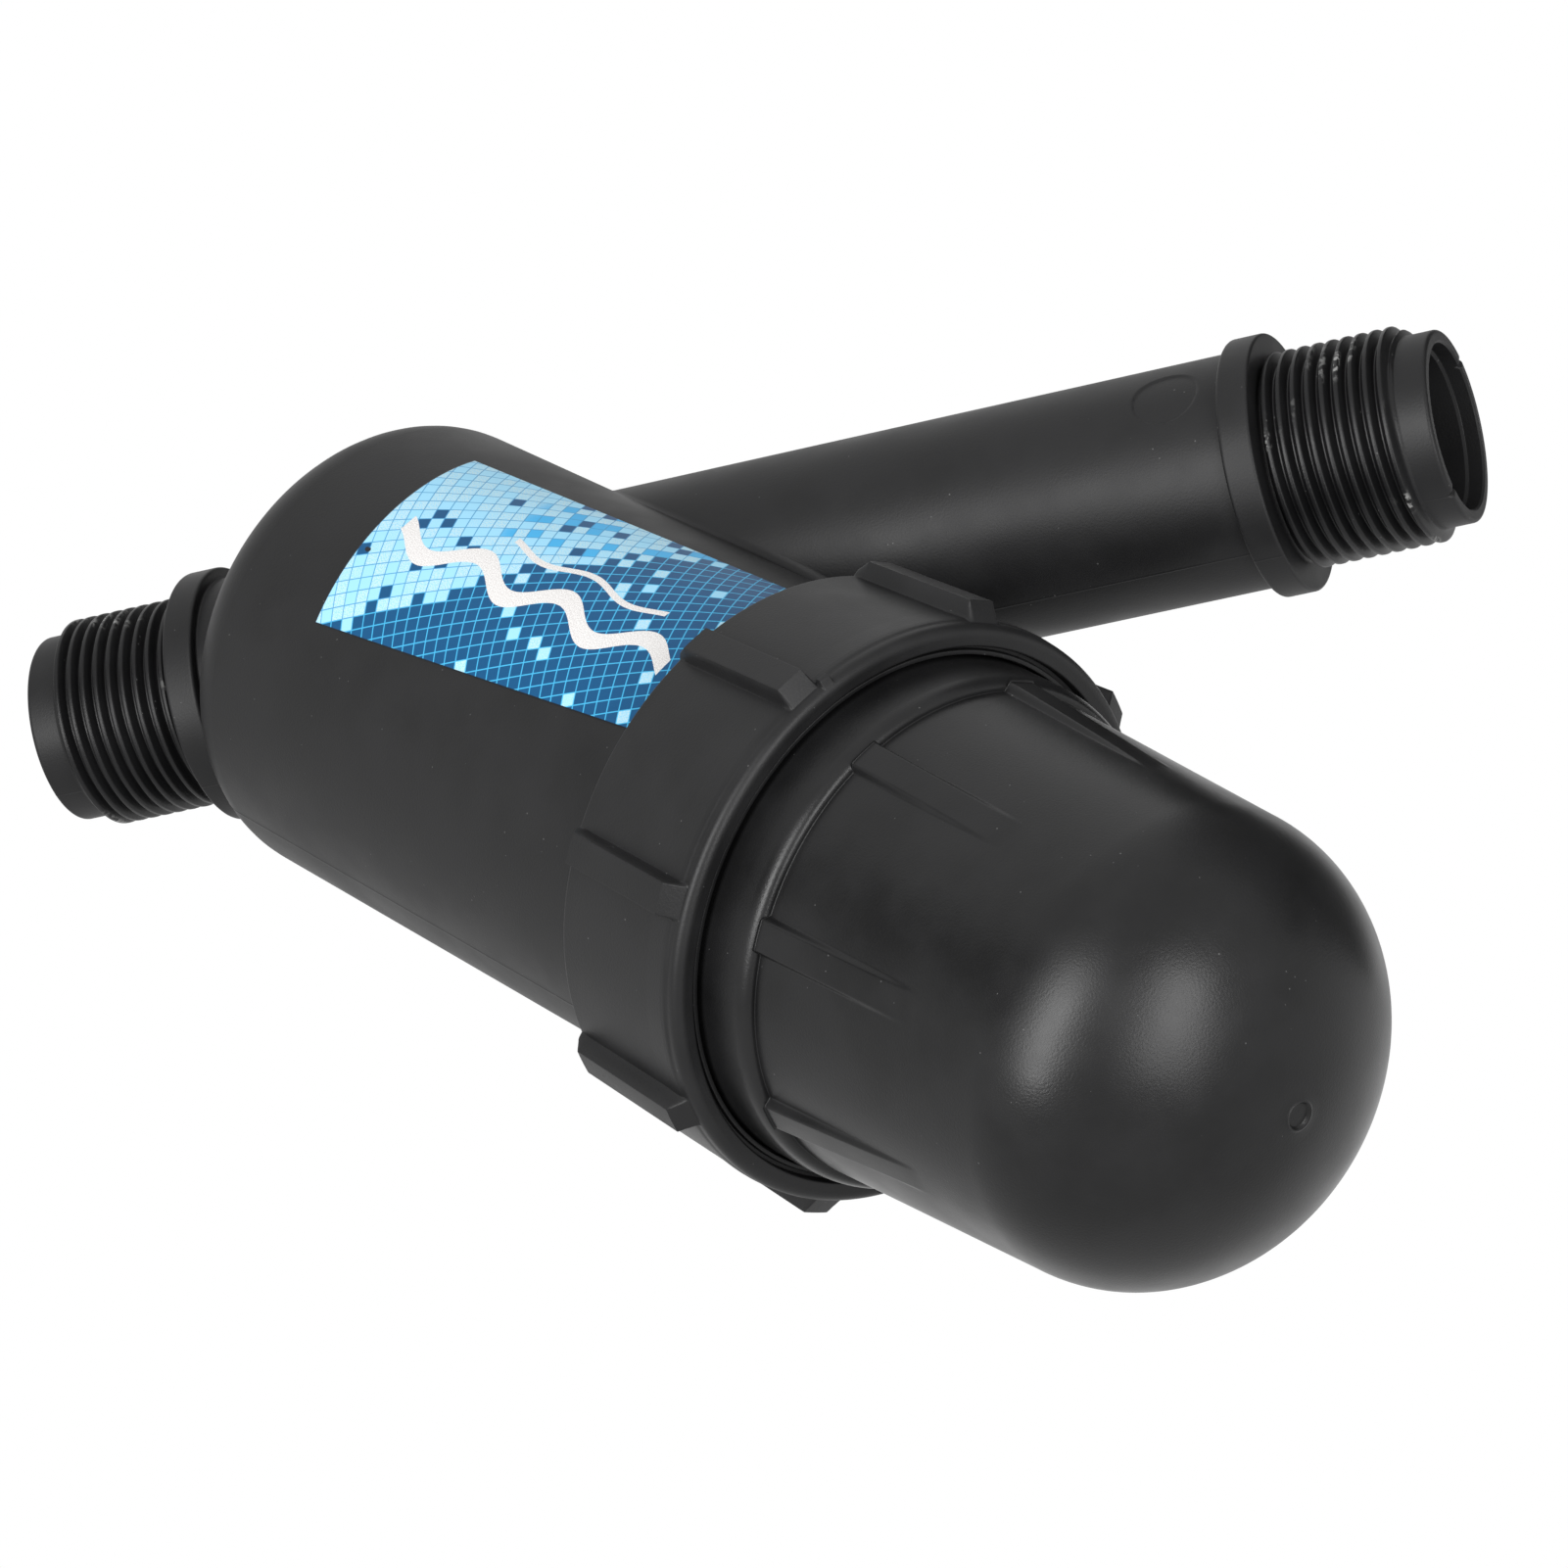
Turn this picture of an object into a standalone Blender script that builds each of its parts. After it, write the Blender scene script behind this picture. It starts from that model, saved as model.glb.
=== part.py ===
"""Irrigation disc filter, 3/4 inch, Y pattern.

A straight run of pipe with a male thread at each end carries a slanted filter barrel.
A bowl closes the barrel's mouth and a union nut holds it there. Inside stands a
cartridge: a core, a stack of filter discs and the cap that clamps them.

Units are metres. X runs along the pipe from the outlet end to the inlet end, the barrel
leans down towards the inlet in the XZ plane, and the origin is the centre of the outlet's
end face. Turned pieces are drawn as outlines of (radius, station), where a station is the
distance along the axis that the piece is turned about.
"""

import math

import bmesh
import bpy
from mathutils import Matrix, Vector

MM = 0.001

# Run of pipe, along X
RUN_LENGTH = 184.8 * MM
RUN_BORE_R = 10.15 * MM
THREAD_CREST_R = 13.22 * MM
THREAD_DEPTH = 1.12 * MM
THREAD_PITCH = 1.814 * MM
THREAD_TURNS = 9
THREAD_START = 3.8 * MM
TIP_R = 11.8 * MM
TIP_CHAMFER = 0.5 * MM
COLLAR_FACE = 20.9 * MM
COLLAR_WIDTH = 4.0 * MM
COLLAR_R = 15.8 * MM
COLLAR_CHAMFER = 0.4 * MM
TUBE_R = 14.35 * MM

# Filter barrel, about its own slanted axis that crosses the run
BARREL_CROSSING = 46.9 * MM
BARREL_ANGLE = math.radians(40.36)
BARREL_FRONT_R = 30.4 * MM
BARREL_TAPER = 1.1 * MM
BARREL_REAR = -0.9 * MM
BARREL_DOME_DEPTH = 14.0 * MM
BARREL_WALL = 3.0 * MM
MOUTH = 90.0 * MM
MOUTH_BORE_DEPTH = 15.0 * MM
MOUTH_WALL = 5.3 * MM
MOUTH_THREAD_HEIGHT = 2.3 * MM
MOUTH_THREAD_LENGTH = 12.5 * MM
MOUTH_CHAMFER = 0.7 * MM

# Wall between the outlet chamber and the filter chamber, with the cartridge's socket
PARTITION_REAR = 10.0 * MM
PARTITION_THICKNESS = 3.0 * MM
SOCKET_WALL = 2.2 * MM
SOCKET_DEPTH = 11.0 * MM

# Clearances
SEAT_GAP = 0.3 * MM
LABEL_GAP = 0.3 * MM

# Bowl
BOWL_FLANGE_THICKNESS = 2.9 * MM
BOWL_FLANGE_STEP = 1.1 * MM
BOWL_SPIGOT_LENGTH = 9.6 * MM
BOWL_SPIGOT_WALL = 4.2 * MM
BAND_LENGTH = 11.1 * MM
BAND_STEP = 1.5 * MM
BAND_EDGE = 1.1 * MM
BOWL_LENGTH = 34.7 * MM
BOWL_TAPER = 1.25 * MM
BOWL_DOME_DEPTH = 23.5 * MM
BOWL_WALL = 2.7 * MM
BOWL_RIB_COUNT = 8
BOWL_RIB_WIDTH = 4.2 * MM
BOWL_RIB_LENGTH = 24.0 * MM
BOWL_RIB_PHASE = math.radians(-2.6)

# Seal ring in the bowl's spigot
SEAL_SECTION_R = 1.3 * MM
SEAL_FROM_MOUTH = 4.8 * MM

# Union nut
NUT_OVERLAP = 15.0 * MM
NUT_LENGTH = 22.0 * MM
NUT_WALL = 1.7 * MM
NUT_TAPER = 1.0 * MM
NUT_EDGE = 1.3 * MM
NUT_RIM_WIDTH = 1.3 * MM
NUT_GROOVE_DEPTH = 1.5 * MM
NUT_LIP_WIDTH = 0.6 * MM
NUT_THREAD_ENTRY = 0.8 * MM
NUT_LUG_COUNT = 8
NUT_LUG_WIDTH = 4.4 * MM
NUT_LUG_HEIGHT = 2.2 * MM
NUT_LUG_SLOPE = 1.6 * MM
NUT_LUG_PHASE = math.radians(-3.4)

# Label, a film on the barrel
LABEL_THICKNESS = 0.2 * MM
LABEL_START = 13.2 * MM
LABEL_TUCK = 1.2 * MM
LABEL_CENTRE = math.radians(-3.2)
LABEL_SPAN = math.radians(60.0)
LABEL_SKEW = math.radians(-10.1)
LABEL_BULGE = 2.6 * MM

# Cartridge core
SPIGOT_LENGTH = 13.0 * MM
SPIGOT_WALL = 2.6 * MM
SPIGOT_STEP = 1.5 * MM
BASE_THICKNESS = 3.0 * MM
SPINE_WALL = 2.5 * MM
SPINE_THREAD_LENGTH = 6.0 * MM
WINDOW_COUNT = 3
WINDOW_SHARE = 0.55
WINDOW_MARGIN = 4.0 * MM
CORE_SEAL_SECTION_R = 1.1 * MM
CORE_SEAL_FROM_TIP = 4.0 * MM

# Filter discs
DISC_COUNT = 36
DISC_CLEARANCE = 3.9 * MM
DISC_WIDTH = 5.5 * MM
DISC_BORE_CLEARANCE = 0.6 * MM
DISC_OVERHANG = 0.4 * MM
DISC_THICKNESS = 2.3 * MM
DISC_GAP = 0.3 * MM

# Clamp cap
CAP_FLANGE_THICKNESS = 2.6 * MM
CAP_HUB_WALL = 2.4 * MM
CAP_END_THICKNESS = 2.4 * MM
CAP_WING_COUNT = 4
CAP_WING_THICKNESS = 2.4 * MM
CAP_WING_SETBACK = 1.4 * MM

# Facets
HOUSING_STEPS = 56
RUN_STEPS = 44
NUT_STEPS = 56
BOWL_STEPS = 48
CORE_STEPS = 32
DISC_STEPS = 16
SEAL_STEPS = 28
SEAL_SIDES = 6
LABEL_COLUMNS = 8
LABEL_ROWS = 12
DOME_RINGS = 7
MERGE = 0.00001

# Stations that follow from the sizes above
LABEL_OUTER = LABEL_GAP + LABEL_THICKNESS
PARTITION_FRONT = PARTITION_REAR + PARTITION_THICKNESS
SOCKET_END = PARTITION_FRONT + SOCKET_DEPTH
BARREL_REAR_R = BARREL_FRONT_R - BARREL_TAPER
THREAD_ROOT_R = THREAD_CREST_R - THREAD_DEPTH
MOUTH_THREAD_R = BARREL_FRONT_R + MOUTH_THREAD_HEIGHT
MOUTH_BORE_R = MOUTH_THREAD_R - MOUTH_WALL
FLANGE_REAR = MOUTH + SEAT_GAP
FLANGE_FRONT = FLANGE_REAR + BOWL_FLANGE_THICKNESS
SPIGOT_END = FLANGE_REAR - BOWL_SPIGOT_LENGTH
SEAL_STATION = MOUTH - SEAL_FROM_MOUTH
BOWL_SPIGOT_R = MOUTH_BORE_R - SEAT_GAP
BAND_BORE_R = BOWL_SPIGOT_R - BOWL_SPIGOT_WALL
BAND_END = FLANGE_FRONT + BAND_LENGTH
BAND_R = MOUTH_THREAD_R - BOWL_FLANGE_STEP
BOWL_SHOULDER_R = BAND_R - BAND_STEP
BOWL_TIP_R = BOWL_SHOULDER_R - BOWL_TAPER
BOWL_DOME_START = BAND_END + BOWL_LENGTH
NUT_REAR = MOUTH - NUT_OVERLAP
NUT_FRONT = NUT_REAR + NUT_LENGTH
NUT_SEAT = FLANGE_FRONT + SEAT_GAP
NUT_BORE_R = MOUTH_THREAD_R + SEAT_GAP
NUT_REAR_R = NUT_BORE_R + NUT_WALL
NUT_FRONT_R = NUT_REAR_R + NUT_TAPER
NUT_LIP_R = BAND_R + SEAT_GAP
LABEL_END = NUT_REAR + LABEL_TUCK
DISC_R = BAND_BORE_R - DISC_CLEARANCE
DISC_BORE_R = DISC_R - DISC_WIDTH
SPINE_R = DISC_BORE_R - DISC_BORE_CLEARANCE
SOCKET_BORE_R = SPINE_R - SPIGOT_STEP
WINDOW_WIDTH = 2 * SPINE_R * math.sin(WINDOW_SHARE * math.pi / WINDOW_COUNT)
BASE_R = DISC_R - DISC_OVERHANG
BASE_REAR = SOCKET_END + SEAT_GAP
BASE_FRONT = BASE_REAR + BASE_THICKNESS
CORE_TIP = BASE_REAR - SPIGOT_LENGTH
CORE_SPIGOT_R = SOCKET_BORE_R - SEAT_GAP
CORE_BORE_R = CORE_SPIGOT_R - SPIGOT_WALL
DISC_PITCH = DISC_THICKNESS + DISC_GAP
STACK_END = BASE_FRONT + DISC_COUNT * DISC_PITCH
CAP_REAR = STACK_END + SEAT_GAP
SPINE_END = CAP_REAR + SPINE_THREAD_LENGTH
CAP_BORE_R = SPINE_R + SEAT_GAP
CAP_WING_REACH = BASE_R - CAP_WING_SETBACK
CAP_HUB_R = CAP_BORE_R + CAP_HUB_WALL
CAP_INNER_END = SPINE_END + SEAT_GAP
CAP_END = CAP_INNER_END + CAP_END_THICKNESS

BLACK_PP = ("black_polypropylene", (0.028, 0.028, 0.030), 0.48)
BLACK_RUBBER = ("black_rubber", (0.015, 0.015, 0.015), 0.62)
LABEL_FILM = ("printed_film", (0.10, 0.36, 0.62), 0.30)
DISC_PLASTIC = ("red_disc_plastic", (0.42, 0.030, 0.022), 0.42)
CORE_PLASTIC = ("core_polypropylene", (0.035, 0.035, 0.038), 0.50)


def clear_scene():
    """Remove the objects that the file opened with."""
    for stale in list(bpy.data.objects):
        bpy.data.objects.remove(stale, do_unlink=True)


def new_collection(name):
    """Return a new collection linked to the scene."""
    collection = bpy.data.collections.new(name)
    bpy.context.scene.collection.children.link(collection)
    return collection


def new_material(name, finish):
    """Return a Principled material of one finish, named for its piece."""
    label, colour, roughness = finish
    material = bpy.data.materials.new(f"{name}_{label}")
    material.use_nodes = True
    shader = material.node_tree.nodes["Principled BSDF"]
    shader.inputs["Base Color"].default_value = (*colour, 1.0)
    shader.inputs["Roughness"].default_value = roughness
    shader.inputs["Metallic"].default_value = 0.0
    material.diffuse_color = (*colour, 1.0)
    return material


def new_axis(name, origin, direction):
    """Return an empty whose local Z lies along direction and whose local X faces the front.

    Local Y then points down, so angles about the axis grow from the front downwards.
    """
    z_axis = Vector(direction).normalized()
    x_axis = Vector((0.0, -1.0, 0.0))
    y_axis = z_axis.cross(x_axis)
    empty = bpy.data.objects.new(name, None)
    empty.empty_display_size = 0.02
    basis = Matrix((x_axis, y_axis, z_axis)).transposed().to_4x4()
    empty.matrix_world = Matrix.Translation(origin) @ basis
    PARTS.objects.link(empty)
    return empty


def add_mesh(name, mesh, collection, axis, finish=None):
    """Link an object for a mesh, carried by an axis empty, with its own material."""
    item = bpy.data.objects.new(name, mesh)
    collection.objects.link(item)
    item.parent = axis
    if finish is not None:
        mesh.materials.append(new_material(name, finish))
    if collection is CUTTERS:
        item.hide_render = True
        item.display_type = "WIRE"
    return item


def ring_direction(outline):
    """Order an outline so that its outer side runs from the highest station to the lowest."""
    following = outline[1:] + outline[:1]
    turn = sum(r0 * s1 - r1 * s0 for (r0, s0), (r1, s1) in zip(outline, following))
    return outline if turn < 0 else outline[::-1]


def turned(name, outline, steps, collection, axis, finish=None):
    """Turn a closed outline of (radius, station) about the axis with a Screw modifier."""
    points = ring_direction(outline)
    on_axis = [i for i, (radius, _) in enumerate(points) if radius == 0.0]
    closed = not on_axis
    if on_axis:
        start = next(i for i in on_axis if (i - 1) % len(points) in on_axis)
        points = points[start:] + points[:start]
    mesh = bpy.data.meshes.new(name)
    vertices = [(radius, 0.0, station) for radius, station in points]
    edges = [(i, i + 1) for i in range(len(points) - 1)]
    if closed:
        edges.append((len(points) - 1, 0))
    mesh.from_pydata(vertices, edges, [])
    item = add_mesh(name, mesh, collection, axis, finish)
    screw = item.modifiers.new("turn", "SCREW")
    screw.axis = "Z"
    screw.angle = math.tau
    screw.steps = steps
    screw.render_steps = steps
    screw.use_merge_vertices = True
    screw.merge_threshold = MERGE
    screw.use_smooth_shade = True
    return item


def boolean(target, tool, operation):
    """Join or cut target with tool by an exact Boolean."""
    modifier = target.modifiers.new(f"{operation.lower()}_{tool.name}", "BOOLEAN")
    modifier.operation = operation
    modifier.solver = "EXACT"
    modifier.object = tool


def shade_round(item, angle=math.radians(35.0)):
    """Shade a mesh smooth, with the edges over an angle left sharp."""
    item.data.shade_smooth()
    item.data.set_sharp_from_angle(angle=angle)


def quarter(radius, depth, station, rings, towards):
    """Points of a dome's quarter ellipse from its rim to its pole, towards -1 or +1."""
    points = []
    for i in range(rings + 1):
        turn = i / rings * math.pi / 2
        reach = radius * math.cos(turn) if i < rings else 0.0
        points.append((reach, station + towards * depth * math.sin(turn)))
    return points


def prism_ring(name, section, width, count, phase, axis):
    """Build one tool mesh of equal prisms around an axis.

    section is the prism's outline of (radius, station) and width its thickness across.
    """
    shape = bmesh.new()
    for k in range(count):
        turn = Matrix.Rotation(phase + k * math.tau / count, 4, "Z")
        sides = []
        for side in (-0.5, 0.5):
            ring = [shape.verts.new(turn @ Vector((r, side * width, s))) for r, s in section]
            sides.append(ring)
        low, high = sides
        shape.faces.new(low)
        shape.faces.new(high[::-1])
        for i, point in enumerate(low):
            j = (i + 1) % len(low)
            shape.faces.new((low[j], point, high[i], high[j]))
    bmesh.ops.recalc_face_normals(shape, faces=shape.faces)
    mesh = bpy.data.meshes.new(name)
    shape.to_mesh(mesh)
    shape.free()
    return add_mesh(name, mesh, CUTTERS, axis)


def barrel_radius(station):
    """Outer radius of the barrel's slightly tapered wall."""
    share = (station - BARREL_REAR) / (NUT_REAR - BARREL_REAR)
    return BARREL_REAR_R + (BARREL_FRONT_R - BARREL_REAR_R) * share


def bowl_radius(station):
    """Outer radius of the bowl's tapered wall between the band and the dome."""
    share = (station - BAND_END) / (BOWL_DOME_START - BAND_END)
    return BOWL_SHOULDER_R + (BOWL_TIP_R - BOWL_SHOULDER_R) * share


def run_end(mirror):
    """Outline of one threaded pipe end, from its end face to behind its collar.

    The thread is drawn as rings at its pitch, with sharp crests and roots, and its last
    flank climbs to the collar's face.
    """
    points = [(TIP_R - TIP_CHAMFER, 0.0), (TIP_R, TIP_CHAMFER), (TIP_R, THREAD_START)]
    for turn in range(THREAD_TURNS):
        start = THREAD_START + turn * THREAD_PITCH
        points += [(THREAD_CREST_R, start + THREAD_PITCH / 2), (THREAD_ROOT_R, start + THREAD_PITCH)]
    points += [
        (THREAD_CREST_R, COLLAR_FACE),
        (COLLAR_R - COLLAR_CHAMFER, COLLAR_FACE),
        (COLLAR_R, COLLAR_FACE + COLLAR_CHAMFER),
        (COLLAR_R, COLLAR_FACE + COLLAR_WIDTH - COLLAR_CHAMFER),
        (COLLAR_R - COLLAR_CHAMFER, COLLAR_FACE + COLLAR_WIDTH),
        (TUBE_R, COLLAR_FACE + COLLAR_WIDTH),
    ]
    if mirror:
        return [(radius, RUN_LENGTH - station) for radius, station in reversed(points)]
    return points


def build_housing():
    """Moulded Y housing: barrel, run pipe, collars, chambers and water ways in one piece."""
    thread_start = MOUTH - MOUTH_THREAD_LENGTH
    outside = quarter(BARREL_REAR_R, BARREL_DOME_DEPTH, BARREL_REAR, DOME_RINGS, -1)[::-1]
    outside += [
        (BARREL_FRONT_R, NUT_REAR),
        (BARREL_FRONT_R, thread_start),
        (MOUTH_THREAD_R, thread_start + MOUTH_CHAMFER),
        (MOUTH_THREAD_R, MOUTH - MOUTH_CHAMFER),
        (MOUTH_THREAD_R - MOUTH_CHAMFER, MOUTH),
        (0.0, MOUTH),
    ]
    housing = turned("housing", outside, HOUSING_STEPS, PARTS, BARREL_AXIS, BLACK_PP)

    run = [(0.0, 0.0)] + run_end(False) + run_end(True) + [(0.0, RUN_LENGTH)]
    run_solid = turned("run_outside", run, RUN_STEPS, CUTTERS, RUN_AXIS)
    boolean(housing, run_solid, "UNION")

    inner_rear_r = BARREL_REAR_R - BARREL_WALL
    outlet = quarter(inner_rear_r, BARREL_DOME_DEPTH - BARREL_WALL, BARREL_REAR, DOME_RINGS, -1)[::-1]
    outlet += [(inner_rear_r, PARTITION_REAR), (0.0, PARTITION_REAR)]
    boolean(housing, turned("outlet_chamber", outlet, HOUSING_STEPS, CUTTERS, BARREL_AXIS), "DIFFERENCE")

    socket_outer_r = SOCKET_BORE_R + SOCKET_WALL
    bore_start = MOUTH - MOUTH_BORE_DEPTH
    chamber = [
        (socket_outer_r, SOCKET_END),
        (socket_outer_r, PARTITION_FRONT),
        (barrel_radius(PARTITION_FRONT) - BARREL_WALL, PARTITION_FRONT),
        (barrel_radius(bore_start) - BARREL_WALL, bore_start),
        (MOUTH_BORE_R, bore_start + MOUTH_CHAMFER),
        (MOUTH_BORE_R, MOUTH - MOUTH_CHAMFER),
        (MOUTH_BORE_R + MOUTH_CHAMFER, MOUTH),
        (MOUTH_BORE_R + MOUTH_CHAMFER, MOUTH + MOUTH_CHAMFER),
        (0.0, MOUTH + MOUTH_CHAMFER),
        (0.0, SOCKET_END),
    ]
    boolean(housing, turned("filter_chamber", chamber, HOUSING_STEPS, CUTTERS, BARREL_AXIS), "DIFFERENCE")

    socket_start = PARTITION_REAR - MOUTH_CHAMFER
    socket = [
        (0.0, socket_start),
        (SOCKET_BORE_R, socket_start),
        (SOCKET_BORE_R, SOCKET_END + MOUTH_CHAMFER),
        (0.0, SOCKET_END + MOUTH_CHAMFER),
    ]
    boolean(housing, turned("socket_bore", socket, CORE_STEPS, CUTTERS, BARREL_AXIS), "DIFFERENCE")

    # The outlet way ends on the barrel's axis, and the inlet way where its whole
    # width has passed through the barrel's wall.
    wall_reach = barrel_radius(PARTITION_FRONT) - BARREL_WALL - RUN_BORE_R * math.cos(BARREL_ANGLE)
    inlet_end = BARREL_CROSSING + wall_reach / math.sin(BARREL_ANGLE) - BARREL_WALL / 2
    for name, near, far in (
        ("outlet_way", -COLLAR_WIDTH, BARREL_CROSSING),
        ("inlet_way", inlet_end, RUN_LENGTH + COLLAR_WIDTH),
    ):
        way = [(0.0, near), (RUN_BORE_R, near), (RUN_BORE_R, far), (0.0, far)]
        boolean(housing, turned(name, way, CORE_STEPS, CUTTERS, RUN_AXIS), "DIFFERENCE")
    return housing


def build_label():
    """Printed film on the barrel: a slightly skewed patch with a bowed rear edge."""
    shape = bmesh.new()
    grid = []
    for i in range(LABEL_COLUMNS + 1):
        along = i / LABEL_COLUMNS
        ring = []
        for j in range(LABEL_ROWS + 1):
            across = j / LABEL_ROWS
            bow = LABEL_BULGE * (1.0 - along) * math.sin(across * math.pi)
            station = LABEL_START + (LABEL_END - LABEL_START) * along + bow
            angle = LABEL_CENTRE + LABEL_SPAN * (across - 0.5)
            angle += LABEL_SKEW * (station - LABEL_START) / (LABEL_END - LABEL_START)
            radius = barrel_radius(min(station, NUT_REAR)) + LABEL_GAP
            point = (radius * math.cos(angle), radius * math.sin(angle), station)
            ring.append(shape.verts.new(point))
        grid.append(ring)
    for low, high in zip(grid, grid[1:]):
        for j in range(LABEL_ROWS):
            shape.faces.new((low[j], low[j + 1], high[j + 1], high[j]))
    mesh = bpy.data.meshes.new("label")
    shape.to_mesh(mesh)
    shape.free()
    label = add_mesh("label", mesh, PARTS, BARREL_AXIS, LABEL_FILM)
    solidify = label.modifiers.new("film", "SOLIDIFY")
    solidify.thickness = LABEL_THICKNESS
    solidify.offset = 1.0
    shade_round(label)
    return label


def build_nut():
    """Union nut: plain bore over the mouth's thread, seat for the flange, eight grip lugs."""
    groove_floor = NUT_FRONT - NUT_GROOVE_DEPTH
    rim_r = NUT_FRONT_R - NUT_EDGE
    outline = [
        (NUT_BORE_R + NUT_THREAD_ENTRY, NUT_REAR),
        (NUT_REAR_R, NUT_REAR),
        (NUT_FRONT_R, NUT_FRONT - NUT_EDGE),
        (NUT_FRONT_R - 0.3 * NUT_EDGE, NUT_FRONT - 0.3 * NUT_EDGE),
        (rim_r, NUT_FRONT),
        (rim_r - NUT_RIM_WIDTH, groove_floor),
        (NUT_LIP_R + NUT_LIP_WIDTH, groove_floor),
        (NUT_LIP_R + NUT_LIP_WIDTH, groove_floor + NUT_LIP_WIDTH),
        (NUT_LIP_R, groove_floor + NUT_LIP_WIDTH),
        (NUT_LIP_R, NUT_SEAT),
        (NUT_BORE_R, NUT_SEAT),
        (NUT_BORE_R, NUT_REAR + NUT_THREAD_ENTRY),
    ]
    nut = turned("union_nut", outline, NUT_STEPS, PARTS, BARREL_AXIS, BLACK_PP)
    root_r = (NUT_BORE_R + NUT_REAR_R) / 2
    section = [
        (root_r, NUT_REAR),
        (NUT_REAR_R + NUT_LUG_HEIGHT - NUT_LUG_SLOPE, NUT_REAR),
        (NUT_REAR_R + NUT_LUG_HEIGHT, NUT_REAR + NUT_LUG_SLOPE),
        (NUT_FRONT_R + NUT_LUG_HEIGHT, NUT_FRONT - NUT_EDGE - NUT_LUG_SLOPE),
        (NUT_FRONT_R, NUT_FRONT - NUT_EDGE),
        (root_r, NUT_FRONT - NUT_EDGE),
    ]
    lugs = prism_ring("nut_lugs", section, NUT_LUG_WIDTH, NUT_LUG_COUNT, NUT_LUG_PHASE, BARREL_AXIS)
    boolean(nut, lugs, "UNION")
    return nut


def build_bowl():
    """Bowl: sealed spigot, flange, smooth band, tapered wall with ribs, and a domed end."""
    seal_floor = BOWL_SPIGOT_R - 2 * SEAL_SECTION_R - SEAT_GAP
    seal_half = SEAL_SECTION_R + SEAT_GAP
    outside = [
        (BOWL_SPIGOT_R - BAND_EDGE / 2, SPIGOT_END),
        (BOWL_SPIGOT_R, SPIGOT_END + BAND_EDGE / 2),
        (BOWL_SPIGOT_R, SEAL_STATION - seal_half),
        (seal_floor, SEAL_STATION - seal_half),
        (seal_floor, SEAL_STATION + seal_half),
        (BOWL_SPIGOT_R, SEAL_STATION + seal_half),
        (BOWL_SPIGOT_R, FLANGE_REAR),
        (MOUTH_THREAD_R, FLANGE_REAR),
        (MOUTH_THREAD_R, FLANGE_FRONT),
        (BAND_R, FLANGE_FRONT),
        (BAND_R, BAND_END - BAND_EDGE),
        (BAND_R - 0.3 * BAND_EDGE, BAND_END - 0.3 * BAND_EDGE),
        (BAND_R - BAND_EDGE, BAND_END),
        (BOWL_SHOULDER_R, BAND_END),
    ]
    outside += quarter(BOWL_TIP_R, BOWL_DOME_DEPTH, BOWL_DOME_START, DOME_RINGS + 1, 1)
    inner_r = BOWL_TIP_R - BOWL_WALL
    inside = quarter(inner_r, BOWL_DOME_DEPTH - BOWL_WALL, BOWL_DOME_START, DOME_RINGS - 1, 1)[::-1]
    inside += [
        (BOWL_SHOULDER_R - BOWL_WALL, BAND_END),
        (BAND_BORE_R, FLANGE_FRONT),
        (BAND_BORE_R, SPIGOT_END),
    ]
    bowl = turned("bowl", outside + inside, BOWL_STEPS, PARTS, BARREL_AXIS, BLACK_PP)
    rib_end = BAND_END + BOWL_RIB_LENGTH
    root_drop = BOWL_WALL / 2
    section = [
        (BOWL_SHOULDER_R - root_drop, BAND_END - BAND_EDGE),
        (BAND_R - BAND_EDGE / 2, BAND_END - BAND_EDGE / 2),
        (bowl_radius(rib_end), rib_end),
        (bowl_radius(rib_end) - root_drop, rib_end),
    ]
    ribs = prism_ring("bowl_ribs", section, BOWL_RIB_WIDTH, BOWL_RIB_COUNT, BOWL_RIB_PHASE, BARREL_AXIS)
    boolean(bowl, ribs, "UNION")
    return bowl


def build_seal(name, centre_r, section_r, station):
    """Rubber ring with a round section."""
    outline = []
    for i in range(SEAL_SIDES):
        turn = i / SEAL_SIDES * math.tau
        outline.append((centre_r + section_r * math.cos(turn), station + section_r * math.sin(turn)))
    return turned(name, outline, SEAL_STEPS, PARTS, BARREL_AXIS, BLACK_RUBBER)


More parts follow.
